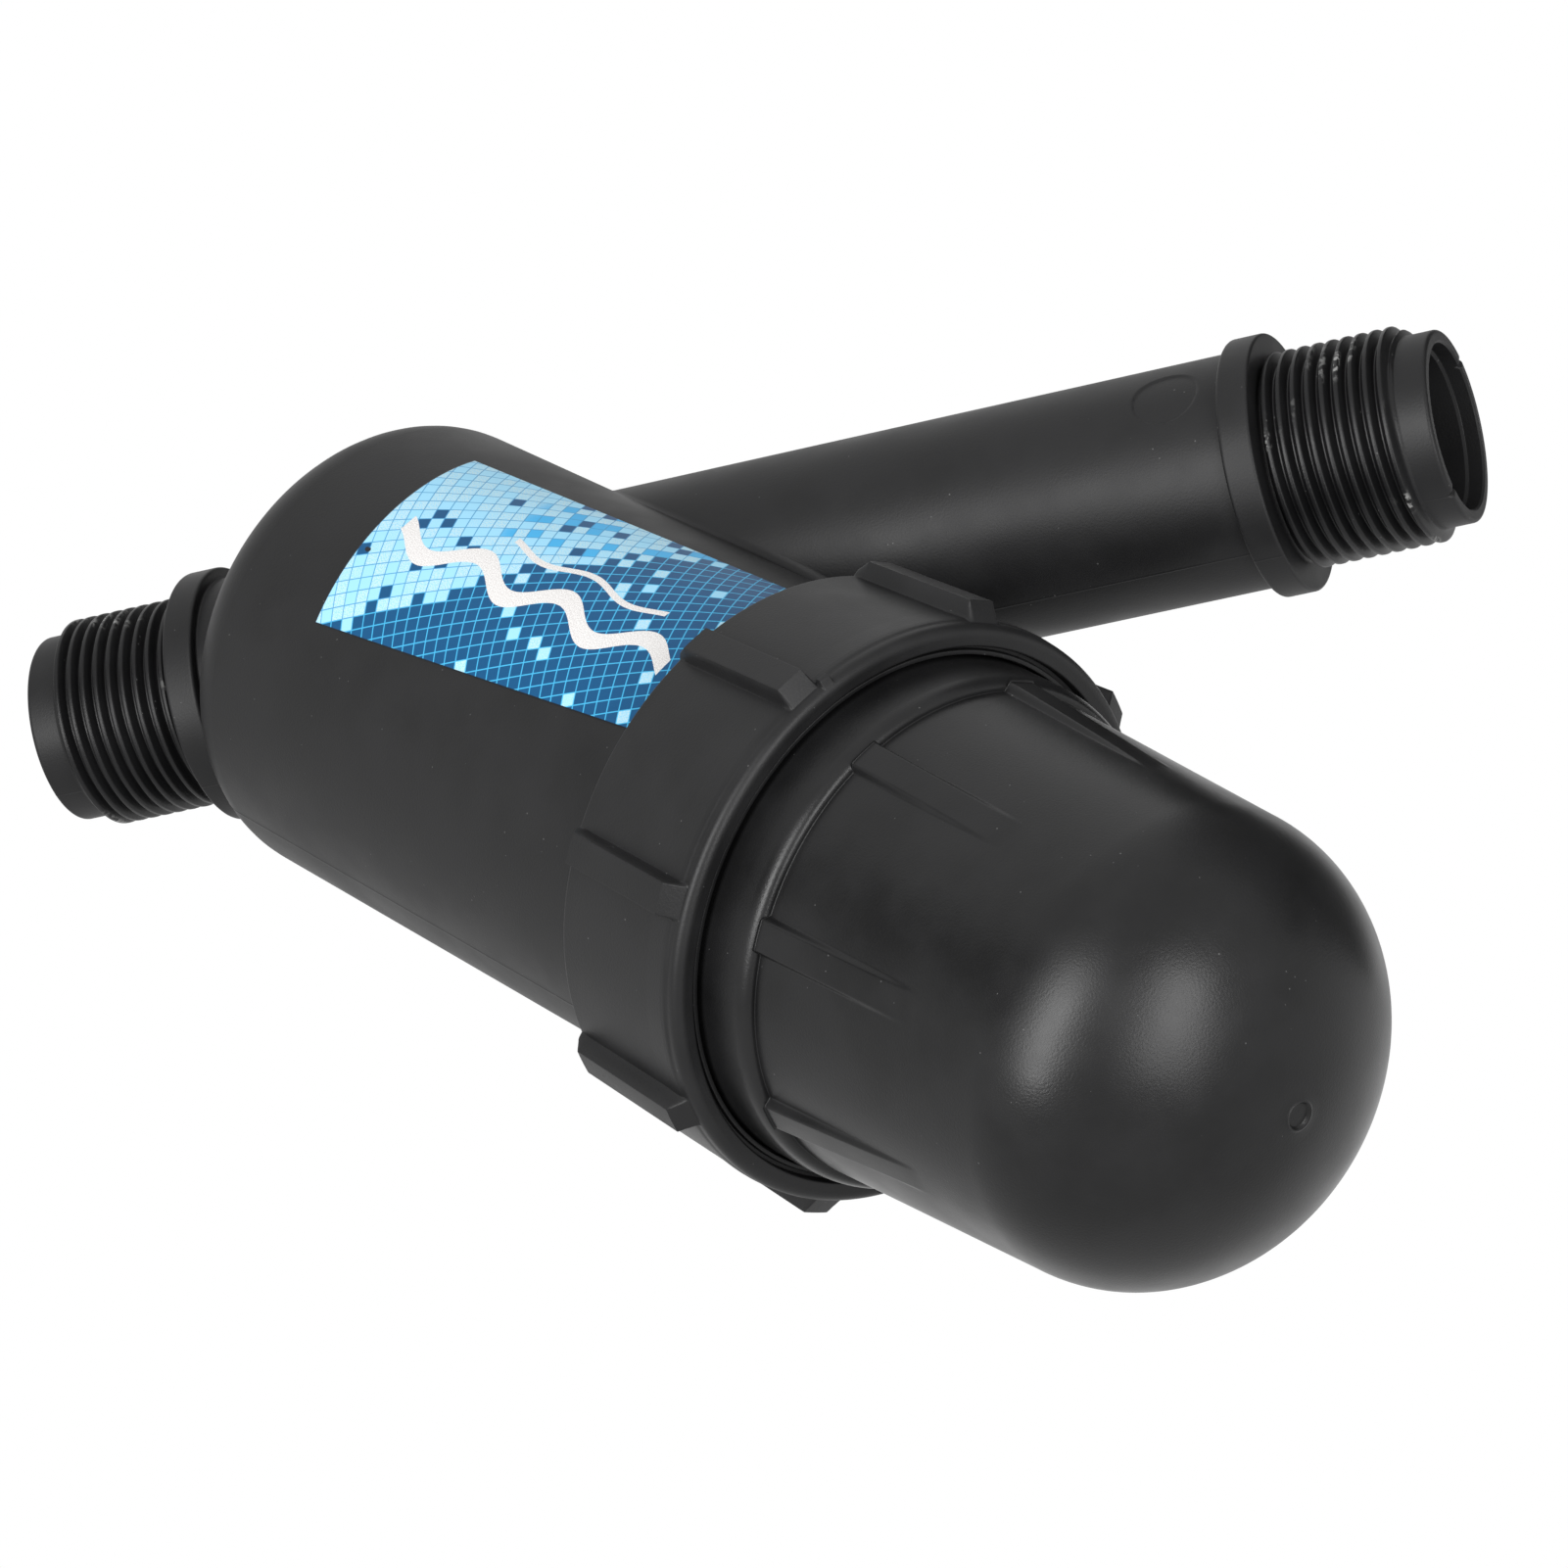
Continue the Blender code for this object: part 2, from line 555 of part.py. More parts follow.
def build_core():
    """Cartridge core: sealed spigot, base flange and a windowed spine that ends in a thread."""
    seal_floor = CORE_SPIGOT_R - 2 * CORE_SEAL_SECTION_R + SEAT_GAP / 2
    seal_half = CORE_SEAL_SECTION_R + SEAT_GAP
    seal_station = CORE_TIP + CORE_SEAL_FROM_TIP
    outline = [
        (CORE_SPIGOT_R, CORE_TIP),
        (CORE_SPIGOT_R, seal_station - seal_half),
        (seal_floor - SEAT_GAP, seal_station - seal_half),
        (seal_floor - SEAT_GAP, seal_station + seal_half),
        (CORE_SPIGOT_R, seal_station + seal_half),
        (CORE_SPIGOT_R, BASE_REAR),
        (BASE_R, BASE_REAR),
        (BASE_R, BASE_FRONT - SEAT_GAP),
        (SPINE_R, BASE_FRONT - SEAT_GAP),
        (SPINE_R, SPINE_END),
        (SPINE_R - SPINE_WALL, SPINE_END),
        (SPINE_R - SPINE_WALL, BASE_FRONT),
        (CORE_BORE_R - SEAT_GAP, BASE_REAR),
        (CORE_BORE_R - SEAT_GAP, CORE_TIP),
    ]
    core = turned("cartridge_core", outline, CORE_STEPS, PARTS, BARREL_AXIS, CORE_PLASTIC)
    window = [
        (0.1 * SPINE_R, BASE_FRONT + WINDOW_MARGIN),
        (1.2 * SPINE_R, BASE_FRONT + WINDOW_MARGIN),
        (1.2 * SPINE_R, STACK_END - WINDOW_MARGIN),
        (0.1 * SPINE_R, STACK_END - WINDOW_MARGIN),
    ]
    windows = prism_ring("core_windows", window, WINDOW_WIDTH, WINDOW_COUNT, 0.0, BARREL_AXIS)
    boolean(core, windows, "DIFFERENCE")
    return core


def build_discs():
    """Stack of equal filter discs on the core's spine."""
    first = None
    for k in range(DISC_COUNT):
        name = f"filter_disc_{k + 1:02d}"
        rear = BASE_FRONT
        front = rear + DISC_THICKNESS
        if first is None:
            outline = [
                (DISC_BORE_R, rear),
                (DISC_R, rear),
                (DISC_R, front),
                (DISC_BORE_R, front),
            ]
            first = turned(name, outline, DISC_STEPS, PARTS, BARREL_AXIS, DISC_PLASTIC)
            continue
        disc = first.copy()
        disc.data = first.data.copy()
        disc.name = name
        disc.data.name = name
        disc.data.materials.clear()
        disc.data.materials.append(new_material(name, DISC_PLASTIC))
        disc.location = (0.0, 0.0, k * DISC_PITCH)
        PARTS.objects.link(disc)


def build_cap():
    """Clamp cap that screws on the core's end and holds the discs, with four finger wings."""
    outline = [
        (CAP_BORE_R, CAP_REAR),
        (BASE_R, CAP_REAR),
        (BASE_R, CAP_REAR + CAP_FLANGE_THICKNESS),
        (CAP_HUB_R, CAP_REAR + CAP_FLANGE_THICKNESS),
        (CAP_HUB_R, CAP_END - MOUTH_CHAMFER),
        (CAP_HUB_R - MOUTH_CHAMFER, CAP_END),
        (0.0, CAP_END),
        (0.0, CAP_INNER_END),
        (CAP_BORE_R, CAP_INNER_END),
    ]
    cap = turned("clamp_cap", outline, CORE_STEPS, PARTS, BARREL_AXIS, CORE_PLASTIC)
    section = [
        ((CAP_BORE_R + CAP_HUB_R) / 2, CAP_REAR + CAP_FLANGE_THICKNESS / 2),
        (CAP_WING_REACH, CAP_REAR + CAP_FLANGE_THICKNESS / 2),
        (CAP_WING_REACH, CAP_END - CAP_END_THICKNESS),
        ((CAP_BORE_R + CAP_HUB_R) / 2, CAP_END - CAP_END_THICKNESS / 2),
    ]
    wings = prism_ring("cap_wings", section, CAP_WING_THICKNESS, CAP_WING_COUNT, 0.0, BARREL_AXIS)
    boolean(cap, wings, "UNION")
    return cap


clear_scene()
PARTS = new_collection("irrigation_disc_filter")
CUTTERS = new_collection("cutters")
RUN_AXIS = new_axis("run_axis", (0.0, 0.0, 0.0), (1.0, 0.0, 0.0))
BARREL_DIRECTION = (math.cos(BARREL_ANGLE), 0.0, -math.sin(BARREL_ANGLE))
BARREL_AXIS = new_axis("barrel_axis", (BARREL_CROSSING, 0.0, 0.0), BARREL_DIRECTION)

build_housing()
build_label()
build_nut()
build_bowl()
build_seal("bowl_seal", BOWL_SPIGOT_R - SEAL_SECTION_R, SEAL_SECTION_R, SEAL_STATION)
build_core()
build_seal(
    "cartridge_seal",
    CORE_SPIGOT_R - CORE_SEAL_SECTION_R + SEAT_GAP / 2,
    CORE_SEAL_SECTION_R,
    CORE_TIP + CORE_SEAL_FROM_TIP,
)
build_discs()
build_cap()
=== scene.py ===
"""Dressed model of a 3/4 inch irrigation disc filter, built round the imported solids.

Units are metres. The run of pipe lies along X from the outlet to the inlet, and the filter
barrel leans down towards the inlet in the XZ plane. A point on a piece is given by a radius,
an angle and a station: the station runs along the piece's axis, and the angle is measured
from the front, -Y, towards the upper side.
"""

import logging
import math
from dataclasses import dataclass, field
from enum import Enum
from typing import Optional, Sequence

import bmesh
import bpy
import numpy as np
from mathutils import Matrix, Vector


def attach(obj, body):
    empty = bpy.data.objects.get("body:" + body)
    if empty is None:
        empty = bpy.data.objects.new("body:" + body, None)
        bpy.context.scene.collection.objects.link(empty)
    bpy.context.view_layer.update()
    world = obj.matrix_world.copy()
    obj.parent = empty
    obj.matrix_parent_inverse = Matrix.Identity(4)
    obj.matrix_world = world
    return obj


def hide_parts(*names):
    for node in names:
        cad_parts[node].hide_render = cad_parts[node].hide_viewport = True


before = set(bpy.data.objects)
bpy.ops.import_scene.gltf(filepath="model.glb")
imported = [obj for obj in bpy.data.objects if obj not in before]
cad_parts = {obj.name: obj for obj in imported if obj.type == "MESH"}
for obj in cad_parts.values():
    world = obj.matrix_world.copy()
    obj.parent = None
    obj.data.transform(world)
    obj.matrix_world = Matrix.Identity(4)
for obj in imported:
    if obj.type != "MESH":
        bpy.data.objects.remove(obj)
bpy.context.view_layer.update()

LOG = logging.getLogger("disc_filter")
MM = 0.001
TURN = 2.0 * math.pi
QUARTER = math.pi / 2.0

CREASE = 32.0
MERGE = 1e-7
CORNER_SHARE = 0.48
STRAIGHT_SIDE = 0.8 * MM
CURVE_SIDE = 2.6 * MM
SUPPORT_INSET = 0.12 * MM
SUPPORT_PITCH = 2.5 * MM

Array = np.ndarray
Span = tuple[float, float]
Corner = tuple[float, float, float]
Colour = tuple[float, float, float]
Item = bpy.types.Object
Material = bpy.types.Material
Node = bpy.types.Node
Socket = bpy.types.NodeSocket
Tree = bpy.types.NodeTree


class Body(str, Enum):
    """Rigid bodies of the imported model."""

    HOUSING = "housing"
    CARTRIDGE = "cartridge"
    CLAMP_CAP = "clamp_cap"
    BOWL = "bowl"
    UNION_NUT = "union_nut"


@dataclass(frozen=True)
class Axis:
    """Axis that a round piece is turned about."""

    origin: Corner
    direction: Corner
    front: Corner = (0.0, -1.0, 0.0)

    def place(self, radius: Array, angle: Array, station: Array) -> Array:
        """Return points for radius, angle and station.

        A point is the origin, plus the station along the axis, plus the radius turned by
        the angle from the front towards the side.

        Args:
            radius: Distances from the axis.
            angle: Angles in radians.
            station: Distances along the axis.

        Returns:
            Array of the broadcast shape with a last dimension of three.
        """
        along = np.array(self.direction)
        front = np.array(self.front)
        side = np.cross(front, along)
        radius, angle, station = np.broadcast_arrays(radius, angle, station)
        return (
            np.array(self.origin)
            + station[..., None] * along
            + (radius * np.cos(angle))[..., None] * front
            + (radius * np.sin(angle))[..., None] * side
        )


BARREL_ANGLE = math.radians(40.36)
BARREL_CROSSING = 46.9 * MM
RUN_AXIS = Axis((0.0, 0.0, 0.0), (1.0, 0.0, 0.0))
BARREL_AXIS = Axis(
    (BARREL_CROSSING, 0.0, 0.0),
    (math.cos(BARREL_ANGLE), 0.0, -math.sin(BARREL_ANGLE)),
)


@dataclass
class Surface:
    """Vertices, four-sided faces and named values of one surface."""

    points: Array
    faces: Array
    values: dict[str, Array] = field(default_factory=dict)


def grid_faces(rows: int, columns: int, close_rows: bool, close_columns: bool) -> Array:
    """Return the four-sided faces between neighbours of a grid of rows by columns.

    Args:
        rows: Number of rows.
        columns: Number of columns.
        close_rows: Whether the last row joins the first.
        close_columns: Whether the last column joins the first.

    Returns:
        Rows of four vertex numbers.
    """
    row = np.arange(rows if close_rows else rows - 1)
    column = np.arange(columns if close_columns else columns - 1)
    row, column = np.meshgrid(row, column, indexing="ij")
    next_row, next_column = (row + 1) % rows, (column + 1) % columns
    corners = (
        row * columns + column,
        row * columns + next_column,
        next_row * columns + next_column,
        next_row * columns + column,
    )
    return np.stack(corners, axis=-1).reshape(-1, 4)


def grid_surface(points: Array, close_rows: bool, close_columns: bool = True) -> Surface:
    """Return the surface over a grid of points."""
    faces = grid_faces(*points.shape[:2], close_rows, close_columns)
    return Surface(points.reshape(-1, 3), faces)


def joined(parts: Sequence[Surface]) -> Surface:
    """Put several surfaces into one, keeping the values that they all have.

    Args:
        parts: The surfaces.

    Returns:
        One surface with the values that all of them have.
    """
    offsets = np.cumsum([0] + [len(part.points) for part in parts])
    points = np.concatenate([part.points for part in parts])
    faces = np.concatenate([part.faces + offset for part, offset in zip(parts, offsets)])
    names = sorted(set.intersection(*(set(part.values) for part in parts)))
    values = {name: np.concatenate([part.values[name] for part in parts]) for name in names}
    return Surface(points, faces, values)


def side_lengths(line: Array, closed: bool) -> list[float]:
    """Return a line's side lengths, with nought for the side that an open line lacks.

    Args:
        line: Points of (radius, station).
        closed: Whether the line's last point joins its first.

    Returns:
        One length for each point.
    """
    following = np.roll(line, -1, axis=0)
    lengths = [float(np.linalg.norm(stop - start)) for start, stop in zip(line, following)]
    return lengths if closed else lengths[:-1] + [0.0]


def with_points(line: Array, shares: Sequence[Array]) -> Array:
    """Return a line with new points at the given shares of each of its sides.

    Args:
        line: Points of (radius, station).
        shares: Shares of each side's length, one array for each side.

    Returns:
        The longer line.
    """
    following = np.roll(line, -1, axis=0)
    out: list[Array] = []
    for start, stop, share in zip(line, following, shares):
        out += [start[None], start + (stop - start) * share[:, None]]
    return np.concatenate(out)


def rounded(corners: Sequence[Corner], arc_steps: int = 5, closed: bool = True) -> Array:
    """Round an outline's corners and give its straight sides support points.

    Each corner with a fillet becomes an arc that touches both of its sides, and each long
    side gets a point close to either end, so that smooth shading stays flat along it. A
    side between two plain corners belongs to a curve, and gets them only when very long.

    Args:
        corners: Rows of (radius, station, fillet).
        arc_steps: Segments in each arc.
        closed: Whether the outline's last corner joins its first.

    Returns:
        Array of (radius, station) points.
    """
    points = np.array([corner[:2] for corner in corners], float)
    path: list[Array] = []
    plain: list[Array] = []
    count = len(corners)
    for index, (_, _, fillet) in enumerate(corners):
        here = points[index]
        end = not closed and index in (0, count - 1)
        if fillet <= 0.0 or end:
            path.append(here[None])
            plain.append(np.ones(1, bool))
            continue
        back, ahead = points[index - 1] - here, points[(index + 1) % count] - here
        back_length, ahead_length = np.linalg.norm(back), np.linalg.norm(ahead)
        back, ahead = back / back_length, ahead / ahead_length
        half = math.acos(float(np.clip(back @ ahead, -1.0, 1.0))) / 2.0
        cut = min(fillet / math.tan(half), CORNER_SHARE * back_length, CORNER_SHARE * ahead_length)
        radius = cut * math.tan(half)
        middle = (back + ahead) / np.linalg.norm(back + ahead)
        centre = here + middle * radius / math.sin(half)
        share = np.linspace(0.0, 1.0, arc_steps + 1)[:, None]
        ends = here + back * cut - centre, here + ahead * cut - centre
        path.append(centre + between(*ends, share, math.pi - 2.0 * half))
        plain.append(np.zeros(arc_steps + 1, bool))
    line, flags = np.concatenate(path), np.concatenate(plain)
    shares: list[Array] = []
    for length, curved in zip(side_lengths(line, closed), flags & np.roll(flags, -1)):
        is_long = length > (CURVE_SIDE if curved else STRAIGHT_SIDE)
        inner = max(2, 1 + round(length / SUPPORT_PITCH)) if is_long else 0
        shares.append(np.linspace(SUPPORT_INSET, length - SUPPORT_INSET, inner) / length)
    return with_points(line, shares)


def between(first: Array, last: Array, share: Array, sweep: object) -> Array:
    """Return vectors on the arc from a first to a last one, at shares of its sweep."""
    return (np.sin((1.0 - share) * sweep) * first + np.sin(share * sweep) * last) / np.sin(sweep)


def refined(outline: Array, step: float, low: float, high: float, closed: bool = True) -> Array:
    """Split an outline's segments that lie between two stations into short ones.

    Args:
        outline: Points of (radius, station).
        step: Longest segment that is left whole.
        low: Lowest station.
        high: Highest station.
        closed: Whether the line's last point joins its first.

    Returns:
        The longer outline.
    """
    following = np.roll(outline, -1, axis=0)
    shares: list[Array] = []
    for start, stop, length in zip(outline, following, side_lengths(outline, closed)):
        first, last = sorted((start[1], stop[1]))
        inside = first >= low - MERGE and last <= high + MERGE
        count = math.ceil(length / step) if inside and length > step else 1
        shares.append(np.linspace(0.0, 1.0, count + 1)[1:-1])
    return with_points(outline, shares)


def spread_angles(count: int, extras: Sequence[Array] = ()) -> Array:
    """Return sorted angles round a turn: an even spread plus extra ones where detail is.

    Args:
        count: Number of even angles.
        extras: Arrays of extra angles.

    Returns:
        Sorted angles from 0 up to a turn, with no two alike.
    """
    even = np.arange(count) * TURN / count
    angles = np.mod(np.concatenate([even, *[np.asarray(extra) for extra in extras]]), TURN)
    angles = np.unique(np.round(angles, 7))
    gaps = np.diff(angles, append=angles[0] + TURN)
    return angles[gaps > 1e-5]


def turned(
    axis: Axis,
    outline: Array,
    angles: Array,
    lift: Optional[Array] = None,
    closed: bool = True,
) -> Surface:
    """Turn an outline about an axis.

    The surface is the outline's radius and station at each angle, with a lift added to the
    radius where the piece isn't round. An open outline starts and ends on the axis.

    Args:
        axis: Axis of the piece.
        outline: Points of (radius, station).
        angles: Angles of the columns.
        lift: Added radius for each row and column.
        closed: Whether the outline's last point joins its first.

    Returns:
        The closed surface.
    """
    radius = outline[:, :1] + (0.0 if lift is None else lift)
    return grid_surface(axis.place(radius, angles[None, :], outline[:, 1:]), closed)


def smooth_step(value: Array) -> Array:
    """Return an S-shaped ramp: nought below 0, one above 1, and level at both ends."""
    value = np.clip(value, 0.0, 1.0)
    return value * value * (3.0 - 2.0 * value)


def window(station: Array, rise: Span, fall: Span) -> Array:
    """Return one between two stations, each given with the length of its S-shaped side."""
    return smooth_step((station - rise[0]) / rise[1]) * smooth_step((fall[0] - station) / fall[1])


def bell(distance: Array, width: float) -> Array:
    """Return a bell: one at no distance, and almost nought at twice the width."""
    return np.exp(-((distance / width) ** 2))


def shade(mesh: bpy.types.Mesh, sharp: float) -> None:
    """Smooth a mesh, except at edges over an angle in degrees."""
    mesh.shade_smooth()
    mesh.set_sharp_from_angle(angle=math.radians(sharp))


def make_mesh(name: str, surface: Surface, sharp: float = CREASE) -> Item:
    """Turn a surface into a mesh object with closed seams and outward faces.

    Args:
        name: Name of the piece.
        surface: The surface.
        sharp: Angle in degrees over which an edge stays sharp.

    Returns:
        The new object at the origin.
    """
    mesh = bpy.data.meshes.new(name)
    mesh.from_pydata(surface.points.tolist(), [], surface.faces.tolist())
    for label, value in surface.values.items():
        store = mesh.attributes.new(label, "FLOAT", "POINT")
        store.data.foreach_set("value", value.astype(np.float32))
    work = bmesh.new()
    work.from_mesh(mesh)
    bmesh.ops.remove_doubles(work, verts=work.verts, dist=MERGE)
    bmesh.ops.dissolve_degenerate(work, edges=work.edges, dist=0.1 * MERGE)
    bmesh.ops.recalc_face_normals(work, faces=work.faces)
    work.to_mesh(mesh)
    work.free()
    shade(mesh, sharp)
    item = bpy.data.objects.new(name, mesh)
    bpy.context.scene.collection.objects.link(item)
    return item


def cut_away(target: Item, tools: Sequence[Item]) -> None:
    """Take tool solids out of a target for good, and remove the tools.

    Args:
        target: The object that is cut.
        tools: Closed objects that are taken out of it.
    """
    for tool in tools:
        modifier = target.modifiers.new(tool.name, "BOOLEAN")
        modifier.operation = "DIFFERENCE"
        modifier.solver = "EXACT"
        modifier.object = tool
    bpy.context.view_layer.update()
    graph = bpy.context.evaluated_depsgraph_get()
    finished = bpy.data.meshes.new_from_object(target.evaluated_get(graph))
    target.modifiers.clear()
    old, target.data = target.data, finished
    bpy.data.meshes.remove(old)
    for tool in tools:
        bpy.data.objects.remove(tool, do_unlink=True)
    shade(finished, CREASE)


def fit_piece(item: Item, body: Body, node: str, material: Material) -> None:
    """Dress a piece, put it on its body and let it stand for its node.

    Args:
        item: The piece.
        body: Rigid body that it rides on.
        node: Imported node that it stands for.
        material: Its material.
    """
    item.data.materials.clear()
    item.data.materials.append(material)
    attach(item, body.value)
    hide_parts(node)
    LOG.info("%s: %d faces on %s", item.name, len(item.data.polygons), body.value)


def rgba(colour: Colour) -> tuple[float, float, float, float]:
    """Return a colour with full alpha."""
    return (*colour, 1.0)


class Graph:
    """Shorthand for building one node tree."""

    def __init__(self, tree: Tree) -> None:
        """Keep the tree that the nodes go into."""
        self.tree = tree

    def fill(self, node: Node, **inputs: object) -> Node:
        """Fill or link a node's inputs.

        Args:
            node: The node.
            **inputs: Input values or sockets by name, with spaces as underscores, or by
                place as i0, i1 and so on.

        Returns:
            The same node.
        """
        for key, value in inputs.items():
            place = int(key[1:]) if key[0] == "i" and key[1:].isdigit() else key.replace("_", " ")
            if isinstance(value, Socket):
                self.tree.links.new(value, node.inputs[place])
            else:
                node.inputs[place].default_value = value
        return node

    def add(self, kind: str, settings: Optional[dict] = None, **inputs: object) -> Node:
        """Add a node of Blender's named type, with its options set and its inputs filled.

        Args:
            kind: Blender's name of the node type after its first word, ShaderNode.
            settings: Options set on the node itself.
            **inputs: Inputs as fill takes them.

        Returns:
            The new node.
        """
        node = self.tree.nodes.new(f"ShaderNode{kind}")
        for option, value in (settings or {}).items():
            setattr(node, option, value)
        return self.fill(node, **inputs)

    def math(self, operation: str, *values: object) -> Socket:
        """Return the result of a Math node."""
        inputs = {f"i{place}": value for place, value in enumerate(values)}
        return self.add("Math", {"operation": operation}, **inputs).outputs[0]

    def ramp(self, value: object, low: object, high: object) -> Socket:
        """Return a smooth step of a value from 0 at low to 1 at high.

        Args:
            value: The value.
            low: Value at which the result is 0.
            high: Value at which the result is 1.

        Returns:
            The result, which is level at both ends.
        """
        settings = {"interpolation_type": "SMOOTHSTEP"}
        node = self.add("MapRange", settings, Value=value, From_Min=low, From_Max=high)
        return node.outputs["Result"]

    def mix(self, share: object, first: object, second: object) -> Socket:
        """Return a mixture of two colours."""
        return self.add("Mix", {"data_type": "RGBA"}, i0=share, i6=first, i7=second).outputs[2]

    def blend(self, share: object, first: Node, second: Node) -> Socket:
        """Return a mixture of two shaders."""
        mixed = self.add("MixShader", None, i0=share, i1=first.outputs[0], i2=second.outputs[0])
        return mixed.outputs[0]

    def noise(self, vector: object, scale: object, detail: float) -> Socket:
        """Return a noise value on a vector."""
        return self.add("TexNoise", None, Vector=vector, Scale=scale, Detail=detail).outputs["Fac"]

    def chance(self, dimensions: str, **inputs: object) -> Node:
        """Return a White Noise node of the given dimensions."""
        return self.add("TexWhiteNoise", {"noise_dimensions": dimensions}, **inputs)

    def vector(self, first: Socket, second: Socket) -> Socket:
        """Return a vector from its first two parts."""
        return self.add("CombineXYZ", None, X=first, Y=second).outputs[0]

    def value(self, name: str) -> Socket:
        """Return a mesh value by its name."""
        return self.add("Attribute", {"attribute_name": name}).outputs["Fac"]

    def use(self, group: Tree, **inputs: object) -> bpy.types.bpy_prop_collection:
        """Return the outputs of a shared group placed with its own values."""
        return self.add("Group", {"node_tree": group}, **inputs).outputs

    def bump(self, height: Socket, distance: float) -> Socket:
        """Return a normal that a height tilts."""
        return self.add("Bump", None, Height=height, Distance=distance).outputs["Normal"]

    def seen(self) -> Socket:
        """Return one for camera, transmission and glossy rays.

        Returns:
            The mask, for surfaces that look white but light the part softly.
        """
        path = self.add("LightPath").outputs
        seen = self.math("MAXIMUM", path["Is Camera Ray"], path["Is Transmission Ray"])
        return self.math("MAXIMUM", seen, path["Is Glossy Ray"])


def new_material(name: str) -> tuple[Material, Graph, Node]:
    """Start a material, and return it with its Graph and its Principled BSDF.

    Args:
        name: Name of the material.

    Returns:
        The material, its Graph and its shader.
    """
    material = bpy.data.materials.new(name)
    material.use_nodes = True
    tree = material.node_tree
    return material, Graph(tree), tree.nodes["Principled BSDF"]


def new_group(
    name: str,
    inputs: dict[str, Optional[float]],
    outputs: Sequence[str],
) -> tuple[Graph, bpy.types.bpy_prop_collection, Node]:
    """Start a shader node group with named sockets.

    Args:
        name: Name of the group.
        inputs: Default value of each number by name, or None for a vector.
        outputs: Names of the numbers that it puts out.

    Returns:
        The group's Graph, the sockets that it is given and its output node.
    """
    tree = bpy.data.node_groups.new(name, "ShaderNodeTree")
    for label, value in inputs.items():
        kind = "NodeSocketVector" if value is None else "NodeSocketFloat"
        socket = tree.interface.new_socket(label, in_out="INPUT", socket_type=kind)
        if value is not None:
            socket.default_value = value
    for label in outputs:
        tree.interface.new_socket(label, in_out="OUTPUT", socket_type="NodeSocketFloat")
    given, out = tree.nodes.new("NodeGroupInput"), tree.nodes.new("NodeGroupOutput")
    return Graph(tree), given.outputs, out


def build_grain_group() -> Tree:
    """Build the fine spark-eroded grain of a moulded face, with a slow mottle.

    Returns:
        The group, which puts out a Height and a Mottle.
    """
    inputs = {"Vector": None, "Grain": 3600.0, "Mottle Scale": 90.0}
    graph, given, out = new_group("moulded_grain", inputs, ("Height", "Mottle"))
    graph.fill(
        out,
        Height=graph.noise(given["Vector"], given["Grain"], 3.0),
        Mottle=graph.noise(given["Vector"], given["Mottle Scale"], 4.0),
    )
    return graph.tree


def build_speck_group() -> Tree:
    """Build sparse pale specks: round dots in a few cells of a fine cell pattern.

    Returns:
        The group, which puts out a Mask.
    """
    inputs = {"Vector": None, "Cells": 1500.0, "Share": 0.03, "Size": 0.16}
    graph, given, out = new_group("pale_specks", inputs, ("Mask",))
    cells = graph.add("TexVoronoi", None, Vector=given["Vector"], Scale=given["Cells"])
    parts = graph.add("SeparateColor", None, Color=cells.outputs["Color"])
    chosen = graph.math("LESS_THAN", parts.outputs[0], given["Share"])
    size = graph.math("MULTIPLY", given["Size"], parts.outputs[1])
    near = graph.math("LESS_THAN", cells.outputs["Distance"], size)
    graph.fill(out, Mask=graph.math("MULTIPLY", chosen, near))
    return graph.tree


def build_wear_group() -> Tree:
    """Build rubbed patches: where an edge value is high and a broken noise allows it.

    Returns:
        The group, which puts out a Mask.
    """
    inputs = {"Vector": None, "Edge": 0.0, "Amount": 0.5}
    inputs.update({"Patch Scale": 110.0, "Fleck Scale": 1500.0})
    graph, given, out = new_group("rubbed_edge", inputs, ("Mask",))
    patch = graph.noise(given["Vector"], given["Patch Scale"], 2.0)
    fleck = graph.noise(given["Vector"], given["Fleck Scale"], 3.0)
    level = graph.math("SUBTRACT", 1.0, given["Amount"])
    where = graph.ramp(graph.math("SUBTRACT", patch, level), 0.0, 0.12)
    broken = graph.ramp(fleck, 0.46, 0.58)
    edge = graph.ramp(given["Edge"], 0.55, 1.0)
    graph.fill(out, Mask=graph.math("MULTIPLY", graph.math("MULTIPLY", where, broken), edge))
    return graph.tree


